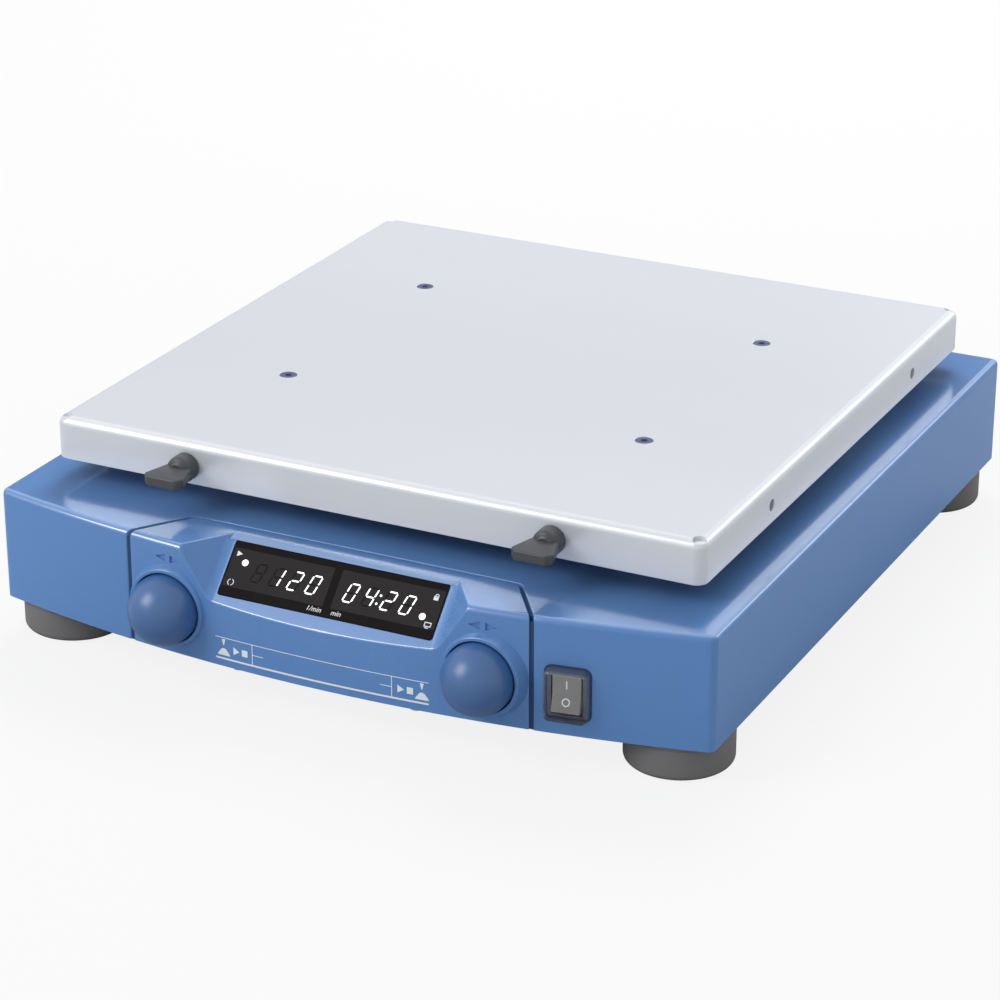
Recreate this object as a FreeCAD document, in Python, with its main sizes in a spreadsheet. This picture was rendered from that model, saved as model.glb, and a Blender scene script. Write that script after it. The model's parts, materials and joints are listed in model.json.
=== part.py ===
"""Linear shaker: a bench instrument whose tray slides left and right on two rods.

Frame: millimetres, X to the right, Y to the back, Z up. The origin lies on the bench, under the
middle of the outline. The front is at -Y, with a bowed face, two dome knobs and a sloping display.
"""

import FreeCAD
import Part
import os
import re
import Sketcher
from FreeCAD import Placement, Rotation, Vector

# Driving sizes, in millimetres and degrees: name, value, what it is
SIZES = (
    ("housing_width", 360.0, "housing, left to right"),
    ("housing_depth", 368.8, "housing, rear face to front corners"),
    ("housing_height", 54.3, "housing, lower edge to roof"),
    ("housing_rear", 203.1, "rear face behind the origin"),
    ("housing_wall", 3.0, "housing side walls"),
    ("housing_top", 3.0, "housing roof"),
    ("housing_round", 3.0, "housing outer edges"),
    ("front_bow", 22.0, "how far the front bows out past its corners"),
    ("plate_thickness", 3.0, "base plate"),
    ("plate_gap", 0.4, "base plate to the walls round it"),
    ("boss_radius", 4.5, "screw bosses inside the housing"),
    ("boss_inset", 8.0, "screw bosses, in from the walls"),
    ("foot_height", 17.1, "rubber feet"),
    ("foot_radius", 24.7, "rubber feet"),
    ("foot_side", 24.7, "feet, from the housing's sides"),
    ("foot_front", 21.0, "front feet behind the front corners"),
    ("foot_rear", 25.4, "rear feet before the rear face"),
    ("foot_round", 3.0, "lower edge of a foot"),
    ("foot_recess_radius", 8.0, "screw recess under a foot"),
    ("foot_recess_depth", 9.0, "screw recess under a foot"),
    ("screw_radius", 2.0, "shank of the common screws"),
    ("screw_head_radius", 3.5, "head of the common screws"),
    ("screw_head", 2.4, "head height of the common screws"),
    ("hole_gap", 0.1, "hole round a screw shank"),
    ("panel_width", 200.6, "front panel at its face"),
    ("panel_taper", 18.3, "front panel, narrowing on each side to its rear edge"),
    ("panel_reach", 33.4, "front panel, front to rear edge"),
    ("panel_wall", 3.0, "front panel walls"),
    ("panel_skirt", 8.0, "rear skirt of the front panel"),
    ("panel_round", 3.0, "top front edge of the front panel"),
    ("seam_gap", 1.1, "open seam round the front panel"),
    ("seat_gap", 0.3, "small clearance between seated pieces"),
    ("window_side", 46.1, "display window, from the panel's sides"),
    ("window_height", 27.2, "display window"),
    ("window_thickness", 2.0, "display window"),
    ("window_tilt", 44.2, "display window, leaning back from upright"),
    ("window_set_back", 4.7, "window's lower edge behind the front"),
    ("window_low", 33.25, "window's lower edge above the housing's lower edge"),
    ("window_corner", 2.0, "window corners"),
    ("window_ledge", 3.0, "ledge that carries the window's edge"),
    ("recess_reach", 30.0, "display recess, from the window outwards"),
    ("recess_side", 3.1, "flat border at the window's sides"),
    ("recess_top", 5.0, "flat border above the window"),
    ("recess_low", 4.0, "flat border below the window"),
    ("recess_side_flare", 30.4, "display recess, widening on each side"),
    ("recess_top_flare", 21.8, "display recess, widening at the top"),
    ("recess_low_flare", 43.5, "display recess, widening at the bottom"),
    ("recess_foot", 3.0, "display recess, corners round the border"),
    ("recess_corner", 12.0, "display recess, outer corners"),
    ("recess_lining", 4.2, "display recess, wall measured along the window"),
    ("brow_reach", 4.2, "sloped edge above the window, front to rear"),
    ("brow_tilt", 19.0, "sloped edge above the window, from level"),
    ("module_width", 42.0, "seven-segment modules"),
    ("module_height", 17.0, "seven-segment modules"),
    ("module_depth", 6.0, "seven-segment modules"),
    ("module_offset", 24.5, "seven-segment modules, off the middle"),
    ("board_thickness", 1.6, "circuit boards"),
    ("display_board_width", 110.0, "display board"),
    ("display_board_height", 26.0, "display board"),
    ("knob_side", 21.3, "knob axes from the panel's sides"),
    ("knob_height", 22.8, "knob axis above the housing's lower edge"),
    ("knob_radius", 16.3, "knobs"),
    ("knob_reach", 16.9, "knob tips before the front"),
    ("knob_rear", 5.7, "knob rims behind the front"),
    ("knob_shell", 2.0, "knob wall"),
    ("knob_hub_radius", 5.5, "hub inside a knob"),
    ("knob_bore_depth", 16.5, "shaft bore inside a knob"),
    ("knob_gap", 1.0, "knob to the collar round it"),
    ("knob_push", 1.5, "travel of a pressed knob"),
    ("collar_width", 1.5, "collar round a knob, at its front"),
    ("collar_draft", 2.0, "collar, widening towards its foot"),
    ("collar_set_back", 0.8, "collar front behind the housing's front"),
    ("collar_length", 5.8, "collar, front to back"),
    ("arrow_height", 46.0, "arrow marks above the housing's lower edge"),
    ("arrow_gap", 1.3, "arrow marks, half the gap of a pair"),
    ("arrow_length", 5.5, "arrow marks"),
    ("arrow_size", 3.8, "arrow marks, base of the triangle"),
    ("arrow_depth", 0.6, "arrow marks"),
    ("shaft_radius", 3.0, "encoder shafts"),
    ("sleeve_wall", 0.9, "encoder plungers"),
    ("sleeve_length", 10.0, "encoder plungers"),
    ("running_gap", 0.05, "radial clearance of turning and sliding fits"),
    ("bushing_wall", 1.5, "encoder bushings"),
    ("bushing_length", 7.0, "encoder bushings"),
    ("encoder_set_back", 18.3, "front of an encoder body behind the front"),
    ("encoder_width", 14.0, "encoder bodies"),
    ("encoder_height", 13.0, "encoder bodies"),
    ("encoder_depth", 7.0, "encoder bodies"),
    ("knob_board_width", 36.0, "knob boards"),
    ("knob_board_height", 34.0, "knob boards"),
    ("knob_board_hole_x", 30.0, "knob board screws, left to right"),
    ("knob_board_hole_z", 28.0, "knob board screws, height"),
    ("small_screw_radius", 1.25, "small screws"),
    ("small_head_radius", 2.4, "small screws"),
    ("small_head", 1.6, "small screws"),
    ("small_screw_length", 6.0, "small screws"),
    ("small_boss_radius", 2.6, "bosses for the small screws"),
    ("switch_across", 117.3, "power switch, right of the middle"),
    ("switch_height", 20.1, "power switch above the housing's lower edge"),
    ("bezel_width", 17.9, "switch bezel"),
    ("bezel_height", 22.3, "switch bezel"),
    ("bezel_thickness", 1.6, "switch bezel"),
    ("switch_body_width", 16.2, "switch body"),
    ("switch_body_height", 20.8, "switch body"),
    ("switch_body_depth", 16.0, "switch body"),
    ("switch_well_depth", 9.0, "well that the rocker turns in"),
    ("rocker_width", 13.0, "rocker"),
    ("rocker_height", 17.0, "rocker"),
    ("rocker_crown", 3.2, "rocker edges before the bezel, level"),
    ("rocker_dish", 1.4, "hollow between the rocker's two faces"),
    ("rocker_depth", 6.0, "rocker behind its pivot"),
    ("rocker_tilt", 9.0, "rocker leaning to either side"),
    ("rocker_pin_radius", 1.2, "rocker pivot pins"),
    ("rocker_pin", 0.9, "rocker pivot pins, length"),
    ("well_gap", 0.6, "rocker to the well round it"),
    ("cover_width", 20.0, "clear cover"),
    ("cover_height", 24.4, "clear cover"),
    ("cover_reach", 6.2, "clear cover before the face"),
    ("cover_wall", 0.8, "clear cover"),
    ("cover_round", 2.2, "clear cover, outer edges"),
    ("rod_radius", 6.0, "guide rods"),
    ("rod_height", 29.0, "guide rods above the housing's lower edge"),
    ("rod_side", 12.0, "guide rods' ends from the housing's sides"),
    ("support_width", 15.0, "rod supports, along the rod"),
    ("support_depth", 36.0, "rod supports, across the rod"),
    ("support_above", 11.0, "rod supports above the rod's axis"),
    ("support_foot", 8.0, "feet of the rod supports"),
    ("support_neck", 24.0, "rod supports, width at the clamp"),
    ("support_slit", 1.6, "clamp slit of the rod supports"),
    ("stroke", 20.0, "whole travel of the tray"),
    ("post_spacing_x", 186.4, "tray posts, left to right"),
    ("post_spacing_y", 140.8, "tray posts, front to back"),
    ("post_centre", 22.6, "middle of the tray posts behind the origin"),
    ("post_radius", 8.0, "tray posts"),
    ("post_flange_radius", 16.0, "flange at the foot of a post"),
    ("post_flange", 2.5, "flange at the foot of a post"),
    ("post_screw_offset", 12.0, "flange screws, off the post's axis"),
    ("post_slot_gap", 3.0, "housing slots round a post"),
    ("block_width", 34.0, "bushing blocks"),
    ("block_height", 26.0, "bushing blocks"),
    ("bushing_radius", 10.5, "ball bushings"),
    ("bushing_run", 30.0, "ball bushings, length"),
    ("carriage_thickness", 2.5, "carriage plate"),
    ("carriage_margin", 22.0, "carriage plate outside the posts"),
    ("carriage_corner", 12.0, "carriage plate corners"),
    ("carriage_screw_length", 12.0, "screws from the posts into the blocks"),
    ("tray_width", 327.4, "tray"),
    ("tray_depth", 326.5, "tray"),
    ("tray_centre", 20.65, "middle of the tray behind the origin"),
    ("tray_flange", 20.5, "tray, height of its flanges"),
    ("tray_sheet", 2.0, "tray sheet"),
    ("tray_bend", 4.3, "tray, outer bend"),
    ("tray_corner", 5.6, "tray, upright corners"),
    ("tray_gap", 10.3, "tray above the housing roof"),
    ("tray_screw_radius", 2.5, "tray screws"),
    ("tray_screw_head_radius", 4.6, "tray screws"),
    ("tray_screw_length", 14.0, "tray screws"),
    ("flange_hole_spacing", 181.6, "holes in a tray flange"),
    ("flange_hole_centre", 4.2, "side flange holes behind the tray's middle"),
    ("flange_hole_radius", 2.75, "holes in a tray flange"),
    ("flange_hole_drop", 11.8, "flange holes under the tray's top"),
    ("thumb_spacing", 184.8, "thumb screws, left to right"),
    ("insert_radius", 5.0, "threaded inserts behind the flange holes"),
    ("insert_length", 5.0, "threaded inserts behind the flange holes"),
    ("thumb_hub_radius", 6.6, "thumb screws"),
    ("thumb_hub_length", 9.0, "thumb screws"),
    ("thumb_neck_radius", 5.0, "thumb screws, hub's front end"),
    ("thumb_length", 23.0, "thumb screws, whole grip"),
    ("thumb_blade", 5.0, "thumb screws, blade thickness"),
    ("thumb_blade_width", 20.4, "thumb screws, blade"),
    ("thumb_blade_chamfer", 3.2, "thumb screws, blade corners"),
    ("stud_length", 22.0, "steel studs of the thumb screws"),
    ("crank_radius", 10.0, "crank pin off its axis"),
    ("crank_shaft_radius", 5.0, "crank shaft"),
    ("bearing_radius", 13.0, "crank bearings"),
    ("bearing_width", 7.8, "crank bearings"),
    ("bearing_floor", 2.0, "floor under the lower crank bearing"),
    ("hub_radius", 19.0, "crank bearing block"),
    ("hub_flange_radius", 33.0, "crank bearing block, flange"),
    ("hub_flange", 5.0, "crank bearing block, flange"),
    ("hub_screw_radius", 27.0, "bolt circle of the bearing block"),
    ("pulley_radius", 39.0, "large pulley, belt seat"),
    ("pulley_rim", 2.0, "pulley rims past the belt seat"),
    ("pulley_rim_height", 1.2, "pulley rims"),
    ("pulley_height", 8.8, "both pulleys"),
    ("pulley_lift", 1.2, "large pulley above the bearing block"),
    ("pulley_web", 3.0, "web of the large pulley"),
    ("pulley_hub_radius", 17.0, "hub of the large pulley"),
    ("pulley_rim_wall", 5.0, "rim of the large pulley"),
    ("motor_pulley_radius", 13.0, "motor pulley, belt seat"),
    ("belt_width", 5.8, "drive belt"),
    ("belt_thickness", 1.5, "drive belt"),
    ("belt_gap", 0.2, "belt to the pulleys"),
    ("motor_distance", 100.0, "motor left of the crank"),
    ("motor_radius", 32.0, "motor"),
    ("motor_height", 17.0, "motor"),
    ("motor_shaft_radius", 4.0, "motor shaft"),
    ("motor_screw_radius", 25.0, "bolt circle of the motor"),
    ("pin_radius", 4.0, "crank pin"),
    ("pin_shoulder_radius", 6.0, "shoulder under the follower"),
    ("pin_shoulder", 1.3, "shoulder under the follower"),
    ("follower_radius", 11.0, "follower on the crank pin"),
    ("follower_height", 7.0, "follower on the crank pin"),
    ("yoke_side_gap", 2.4, "slot to follower, each side"),
    ("yoke_end_gap", 0.8, "slot to follower, at each end"),
    ("yoke_wall", 9.0, "yoke round its slot"),
    ("yoke_height", 9.7, "yoke under the carriage plate"),
    ("inlet_across", 20.0, "mains inlet, left of the middle"),
    ("inlet_height", 26.5, "mains inlet above the housing's lower edge"),
    ("inlet_flange_width", 31.0, "mains inlet flange"),
    ("inlet_flange_height", 24.0, "mains inlet flange"),
    ("inlet_flange", 1.5, "mains inlet flange"),
    ("inlet_body_width", 27.0, "mains inlet body"),
    ("inlet_body_height", 19.6, "mains inlet body"),
    ("inlet_depth", 24.0, "mains inlet body"),
    ("inlet_mouth_width", 24.2, "mains inlet mouth"),
    ("inlet_mouth_height", 16.2, "mains inlet mouth"),
    ("inlet_mouth_depth", 17.0, "mains inlet mouth"),
    ("inlet_bevel", 4.5, "bevelled corners of the mouth"),
    ("blade_width", 2.0, "inlet blades"),
    ("blade_height", 4.0, "inlet blades"),
    ("blade_set_back", 5.0, "inlet blades behind the mouth's rim"),
    ("blade_spacing", 7.0, "inlet blades, off the middle"),
    ("port_across", 95.0, "serial port, right of the middle"),
    ("port_height", 25.0, "serial port above the housing's lower edge"),
    ("port_flange_width", 30.8, "serial port flange"),
    ("port_flange_height", 12.5, "serial port flange"),
    ("port_flange", 1.0, "serial port flange"),
    ("port_shell_width", 16.8, "serial port shell"),
    ("port_shell_height", 8.2, "serial port shell"),
    ("port_shell", 0.6, "serial port shell, wall"),
    ("port_depth", 12.0, "serial port body"),
    ("main_board_width", 138.0, "main board"),
    ("main_board_depth", 70.0, "main board"),
    ("main_board_left", 22.0, "main board's left edge"),
    ("main_board_rear", 10.0, "main board, before the rear face"),
    ("standoff_height", 6.0, "standoffs of the main board"),
    ("standoff_radius", 3.0, "standoffs of the main board"),
    ("standoff_inset", 6.0, "standoffs in from the board's edges"),
    ("supply_width", 100.0, "power supply"),
    ("supply_depth", 60.0, "power supply"),
    ("supply_height", 30.0, "power supply"),
    ("supply_left", 160.0, "power supply's left side, left of the middle"),
    ("supply_rear", 14.0, "power supply before the rear face"),
    ("supply_wall", 1.5, "power supply cover"),
    ("boss_from_foot", 36.0, "housing bosses, from the feet towards the middle"),
    ("boss_screw_depth", 10.0, "housing screws inside their bosses"),
    ("mechanism_screw_depth", 7.0, "mechanism screws above the base plate"),
    ("panel_return", 14.0, "front panel's full-height ends, front to back"),
    ("panel_boss_x", 45.0, "front panel bosses, off the middle"),
    ("panel_boss_inset", 5.3, "front panel bosses behind the face"),
    ("panel_boss_height", 16.0, "front panel bosses"),
    ("panel_tongue", 5.0, "tongue under the housing roof, reach"),
    ("panel_tongue_width", 120.0, "tongue under the housing roof"),
    ("panel_tongue_thickness", 2.5, "tongue under the housing roof"),
    ("collar_round", 0.7, "collar, front edges"),
    ("sleeve_reach", 1.0, "plunger's rear end behind the bushing"),
    ("knob_hub_set_back", 1.0, "knob hub before the knob's rim"),
    ("bezel_corner", 1.5, "corners of the bezel and of the inlet flange"),
    ("cover_corner", 3.0, "clear cover, upright corners"),
    ("rocker_pivot", 1.0, "rocker pivot behind the face"),
    ("pulley_window_radius", 6.0, "holes in the large pulley's web"),
    ("motor_round", 2.0, "motor, top edge"),
    ("motor_vent_length", 8.0, "motor vents"),
    ("motor_vent_radius", 1.6, "motor vents"),
    ("motor_vent_depth", 3.0, "motor vents"),
    ("blade_drop", 3.0, "inlet blades, above or below the middle"),
    ("port_corner", 1.5, "serial port flange, corners"),
    ("port_slant", 1.5, "serial port shell, slant of its sides"),
    ("port_mouth_depth", 6.0, "serial port mouth"),
    ("carriage_window_radius", 17.0, "carriage plate windows"),
    ("carriage_window_x", 52.0, "carriage plate windows, off the middle"),
    ("carriage_window_y", 50.0, "carriage plate windows, apart"),
    ("block_chamfer", 3.0, "lower edges of the bushing blocks"),
    ("yoke_screw_length", 9.0, "screws into the yoke"),
    ("yoke_slot_corner", 3.0, "yoke slot, corners"),
    ("stud_sunk", 8.0, "studs inside the thumb screws"),
    ("sink_width", 34.0, "heat sink on the main board"),
    ("sink_depth", 16.0, "heat sink on the main board"),
    ("sink_height", 18.0, "heat sink on the main board"),
    ("sink_x", 30.0, "heat sink, from the board's left edge"),
    ("chip_size", 14.0, "driver chip on the main board"),
    ("chip_height", 2.0, "driver chip on the main board"),
    ("chip_x", 66.0, "driver chip, from the board's left edge"),
    ("plug_width", 14.0, "plugs on the main board, the narrow one"),
    ("plug_depth", 8.0, "plugs on the main board"),
    ("plug_height", 9.0, "plugs on the main board"),
    ("plug_x", 24.0, "first plug, from the board's left edge"),
    ("plug_step", 46.0, "plugs on the main board, apart"),
    ("capacitor_radius", 5.0, "capacitors on the main board"),
    ("capacitor_height", 16.0, "capacitors on the main board"),
    ("capacitor_x", 94.0, "first capacitor, from the board's left edge"),
)

# Places and sizes that follow from the driving ones
PLACES = {
    "roof": "foot_height + housing_height",
    "ceiling": "roof - housing_top",
    "floor": "foot_height + plate_thickness",
    "front_corner": "housing_rear - housing_depth",
    "front": "front_corner - front_bow",
    "bow_radius": "((housing_width / 2)^2 + front_bow^2) / (2 * front_bow)",
    "bow_centre": "front + bow_radius",
    "knob_x": "panel_width / 2 - knob_side",
    "knob_z": "foot_height + knob_height",
    "knob_face": "bow_centre - sqrt(bow_radius^2 - knob_x^2)",
    "knob_hole": "knob_radius + knob_gap",
    "switch_face": "bow_centre - sqrt(bow_radius^2 - switch_across^2)",
    "switch_turn": "asin(switch_across / bow_radius)",
    "switch_z": "foot_height + switch_height",
    "knob_turn": "asin(knob_x / bow_radius)",
    "encoder_front": "front + encoder_set_back",
    "knob_board_front": "encoder_front + encoder_depth",
    "sleeve_radius": "shaft_radius + running_gap + sleeve_wall",
    "panel_rear": "front + panel_reach",
    "window_width": "panel_width - 2 * window_side",
    "window_y": "front + window_set_back",
    "window_z": "foot_height + window_low",
    "brow_y": "window_y + (roof - brow_reach * tan(brow_tilt * 1deg) - window_z) * tan(window_tilt * 1deg)",
    "foot_x": "housing_width / 2 - foot_side",
    "rod_length": "housing_width - 2 * rod_side",
    "foot_y_front": "front_corner + foot_front",
    "foot_y_rear": "housing_rear - foot_rear",
    "rod_z": "foot_height + rod_height",
    "post_x": "post_spacing_x / 2",
    "post_y_front": "post_centre - post_spacing_y / 2",
    "post_y_rear": "post_centre + post_spacing_y / 2",
    "block_top": "rod_z + block_height / 2",
    "carriage_top": "block_top + carriage_thickness",
    "tray_top": "roof + tray_gap + tray_flange",
    "tray_under": "tray_top - tray_sheet",
    "tray_front": "tray_centre - tray_depth / 2",
    "flange_hole_z": "tray_top - flange_hole_drop",
    "side_hole_y": "tray_centre + flange_hole_centre",
    "bearing_bottom": "floor + bearing_floor",
    "hub_top": "bearing_bottom + 2 * bearing_width",
    "pulley_bottom": "hub_top + pulley_lift",
    "pulley_top": "pulley_bottom + pulley_height",
    "belt_bottom": "pulley_bottom + (pulley_height - belt_width) / 2",
    "follower_bottom": "pulley_top + pin_shoulder",
    "pin_y": "post_centre - crank_radius",
    "support_x": "rod_length / 2 - support_width / 2",
    "support_screw_y": "(support_depth + support_neck) / 4",
    "boss_x": "housing_width / 2 - housing_wall - boss_inset",
    "boss_y_front": "foot_y_front + boss_from_foot",
    "boss_y_rear": "foot_y_rear - boss_from_foot",
    "main_board_back": "housing_rear - main_board_rear",
    "yoke_y": "post_centre - crank_radius / 2",
    "inlet_z": "foot_height + inlet_height",
    "port_z": "foot_height + port_height",
    "main_board_z": "floor + standoff_height",
}

doc = FreeCAD.newDocument("LinearShaker")
sheet = doc.addObject("Spreadsheet::Sheet", "Sizes")
NODES = []


def fill_sheet():
    """Write the driving sizes into the sheet, one row each."""
    for row, (alias, value, note) in enumerate(SIZES, start=1):
        sheet.set("A%d" % row, note)
        sheet.set("B%d" % row, "%g" % value)
        sheet.setAlias("B%d" % row, alias)
    doc.recompute()


KNOWN = {alias for alias, value, note in SIZES}


def formula(text):
    """Spell a formula out as references to the sheet's cells."""
    def spell(match):
        word = match.group(0)
        if word in KNOWN:
            return "Sizes." + word
        if word in PLACES:
            return "(" + formula(PLACES[word]) + ")"
        return word
    return re.sub(r"[a-z][a-z0-9_]*", spell, str(text))


def number(text):
    """Return what a formula comes to."""
    result = sheet.evalExpression(formula(text))
    return float(getattr(result, "Value", result))


def bind(item, name, text):
    """Tie a property of an object to a formula."""
    item.setExpression(name, formula(text))


def place(item, x="0", y="0", z="0", turn=None):
    """Put an object at a point, turned about the upright axis if a turn is given."""
    if turn is None:
        for axis, text in zip("xyz", (x, y, z)):
            bind(item, "Placement.Base." + axis, text)
        return item
    text = "placement(vector(%s; %s; %s); rotation(vector(0; 0; 1); %s))" % (x, y, z, turn)
    bind(item, "Placement", text)
    return item


def node(item, label):
    """Name an object after its sub-part and list it for export."""
    item.Label = label
    NODES.append(item)
    return item


def new_body(name):
    """Start a PartDesign body."""
    return doc.addObject("PartDesign::Body", name)


def new_sketch(body, plane="XY_Plane", offset="0"):
    """Start a sketch on one of a body's own origin planes.

    The offset is a distance along the plane's normal or a whole placement.
    """
    sketch = body.newObject("Sketcher::SketchObject", "Sketch")
    support = [item for item in body.Origin.OriginFeatures if item.Role == plane][0]
    sketch.AttachmentSupport = [(support, "")]
    sketch.MapMode = "FlatFace"
    whole = offset.startswith("placement")
    bind(sketch, "AttachmentOffset" if whole else "AttachmentOffset.Base.z", offset)
    return sketch


def free_sketch(name):
    """Start a sketch outside any body, in the ground plane."""
    return doc.addObject("Sketcher::SketchObject", name)


def bound_constraint(sketch, kind, where, text):
    """Add a dimension to a sketch and tie it to a formula."""
    index = sketch.addConstraint(Sketcher.Constraint(kind, *where, number(text)))
    bind(sketch, "Constraints[%d]" % index, text)


def pin_point(sketch, item, end, x, y, kept="xy"):
    """Fix a sketch point at a place measured from the sketch's origin, or only one of its axes."""
    if "x" in kept:
        bound_constraint(sketch, "DistanceX", (-1, 1, item, end), x)
    if "y" in kept:
        bound_constraint(sketch, "DistanceY", (-1, 1, item, end), y)


def outline(sketch, corners, arcs=None):
    """Draw a closed outline through the corners.

    arcs maps the number of a side to its centre (x, y), its sense, which is True for
    counterclockwise, and the axis that its last corner keeps: the arc itself gives the other.
    """
    arcs = arcs or {}
    points = [Vector(number(x), number(y), 0) for x, y in corners]
    count = len(points)
    sides = []
    for i, start in enumerate(points):
        end = points[(i + 1) % count]
        if i not in arcs:
            sides.append((sketch.addGeometry(Part.LineSegment(start, end)), 1, 2))
            continue
        (cx, cy), forward, kept = arcs[i]
        centre = Vector(number(cx), number(cy), 0)
        circle = Part.Circle(centre, Vector(0, 0, 1), (start - centre).Length)
        first, last = (start, end) if forward else (end, start)
        arc = Part.ArcOfCircle(circle, circle.parameter(first), circle.parameter(last))
        sides.append((sketch.addGeometry(arc), 1 if forward else 2, 2 if forward else 1))
    for i, (side, start, end) in enumerate(sides):
        after, after_start, after_end = sides[(i + 1) % count]
        sketch.addConstraint(Sketcher.Constraint("Coincident", side, end, after, after_start))
    for i, (side, start, end) in enumerate(sides):
        x, y = corners[i]
        before = (i - 1) % count
        pin_point(sketch, side, start, x, y, arcs[before][2] if before in arcs else "xy")
        if i in arcs:
            cx, cy = arcs[i][0]
            pin_point(sketch, side, 3, cx, cy)
    return sketch


def rectangle(sketch, left, right, low, high):
    """Draw a rectangle by its four sides."""
    return outline(sketch, ((left, low), (right, low), (right, high), (left, high)))


def centred_rectangle(sketch, width, height, x="0", y="0"):
    """Draw a rectangle about a centre."""
    half_x = "(%s) / 2" % width
    half_y = "(%s) / 2" % height
    return rectangle(sketch, "%s - %s" % (x, half_x), "%s + %s" % (x, half_x),
                     "%s - %s" % (y, half_y), "%s + %s" % (y, half_y))


def circle(sketch, radius, x="0", y="0"):
    """Draw a circle."""
    shape = Part.Circle(Vector(number(x), number(y), 0), Vector(0, 0, 1), number(radius))
    item = sketch.addGeometry(shape)
    pin_point(sketch, item, 3, x, y)
    bound_constraint(sketch, "Radius", (item,), radius)
    return sketch


def slot(sketch, half_length, radius, x="0", y="0"):
    """Draw a round-ended slot that runs along the sketch's x axis."""
    cx, cy, half, round_end = number(x), number(y), number(half_length), number(radius)
    up = Vector(0, 0, 1)
    quarter = 1.5707963267948966
    right = Part.ArcOfCircle(Part.Circle(Vector(cx + half, cy, 0), up, round_end), -quarter, quarter)
    left = Part.ArcOfCircle(Part.Circle(Vector(cx - half, cy, 0), up, round_end), quarter, 3 * quarter)
    top = Part.LineSegment(Vector(cx + half, cy + round_end, 0), Vector(cx - half, cy + round_end, 0))
    low = Part.LineSegment(Vector(cx - half, cy - round_end, 0), Vector(cx + half, cy - round_end, 0))
    a, b, c, d = [sketch.addGeometry(shape) for shape in (right, top, left, low)]
    for first, second in ((a, b), (b, c), (c, d), (d, a)):
        sketch.addConstraint(Sketcher.Constraint("Tangent", first, 2, second, 1))
    pin_point(sketch, a, 3, "%s + %s" % (x, half_length), y)
    pin_point(sketch, c, 3, "%s - %s" % (x, half_length), y)
    bound_constraint(sketch, "Radius", (a,), radius)
    bound_constraint(sketch, "Radius", (c,), radius)
    return sketch


def rounded_rectangle(sketch, width, height, radius, x="0", y="0"):
    """Draw a rectangle with rounded corners about a centre."""
    cx, cy = number(x), number(y)
    across, up, r = number(width) / 2, number(height) / 2, number(radius)
    normal = Vector(0, 0, 1)
    quarter = 1.5707963267948966
    turns = ((1, -1, -1), (1, 1, 0), (-1, 1, 1), (-1, -1, 2))
    arcs = []
    for sx, sy, start in turns:
        centre = Vector(cx + sx * (across - r), cy + sy * (up - r), 0)
        shape = Part.ArcOfCircle(Part.Circle(centre, normal, r), start * quarter, (start + 1) * quarter)
        arcs.append(sketch.addGeometry(shape))
    for i, (sx, sy, start) in enumerate(turns):
        here = sketch.getPoint(arcs[i], 2)
        there = sketch.getPoint(arcs[(i + 1) % 4], 1)
        line = sketch.addGeometry(Part.LineSegment(here, there))
        sketch.addConstraint(Sketcher.Constraint("Tangent", arcs[i], 2, line, 1))
        sketch.addConstraint(Sketcher.Constraint("Tangent", line, 2, arcs[(i + 1) % 4], 1))
    for i, (sx, sy, start) in enumerate(turns):
        centre_x = "%s + (%d) * ((%s) / 2 - (%s))" % (x, sx, width, radius)
        centre_y = "%s + (%d) * ((%s) / 2 - (%s))" % (y, sy, height, radius)
        pin_point(sketch, arcs[i], 3, centre_x, centre_y)
        bound_constraint(sketch, "Radius", (arcs[i],), radius)
    return sketch


def belt_loop(sketch, distance, large, small):
    """Draw a closed loop round two circles: the large one at the origin, the small one at -x."""
    span, big, little = number(distance), number(large), number(small)
    lean = (big - little) / span
    rise = (1 - lean * lean) ** 0.5
    up = Vector(0, 0, 1)
    touch = Vector(-lean, rise, 0)
    other = Vector(-lean, -rise, 0)
    centre = Vector(-span, 0, 0)
    big_circle = Part.Circle(Vector(), up, big)
    little_circle = Part.Circle(centre, up, little)
    big_arc = Part.ArcOfCircle(big_circle, big_circle.parameter(other * big),
                               big_circle.parameter(touch * big))
    little_arc = Part.ArcOfCircle(little_circle, little_circle.parameter(centre + touch * little),
                                  little_circle.parameter(centre + other * little))
    a = sketch.addGeometry(big_arc)
    b = sketch.addGeometry(Part.LineSegment(touch * big, centre + touch * little))
    c = sketch.addGeometry(little_arc)
    d = sketch.addGeometry(Part.LineSegment(centre + other * little, other * big))
    for first, second in ((a, b), (b, c), (c, d), (d, a)):
        sketch.addConstraint(Sketcher.Constraint("Tangent", first, 2, second, 1))
    pin_point(sketch, a, 3, "0", "0")
    pin_point(sketch, c, 3, "-(%s)" % distance, "0")
    bound_constraint(sketch, "Radius", (a,), large)
    bound_constraint(sketch, "Radius", (c,), small)
    return sketch


def extrude(body, kind, sketch, length, backwards=False, middle=False):
    """Add a Pad or a Pocket of a bound length and see that it changes the solid."""
    before = body.Tip.Shape.Volume if body.Tip else 0.0
    feature = body.newObject("PartDesign::" + kind, kind)
    feature.Profile = sketch
    feature.Type = 0
    bind(feature, "Length", length)
    feature.Reversed = backwards
    feature.Midplane = middle
    doc.recompute()
    if abs(feature.Shape.Volume - before) < 1e-3:
        raise ValueError("%s in %s changes nothing" % (kind, body.Name))
    return feature


def pad(body, sketch, length, backwards=False, middle=False):
    """Grow a sketch into a solid."""
    return extrude(body, "Pad", sketch, length, backwards, middle)


def pocket(body, sketch, length, backwards=False, middle=False):
    """Cut a sketch out of the solid. Forward is against the sketch's normal."""
    return extrude(body, "Pocket", sketch, length, backwards, middle)


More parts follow.
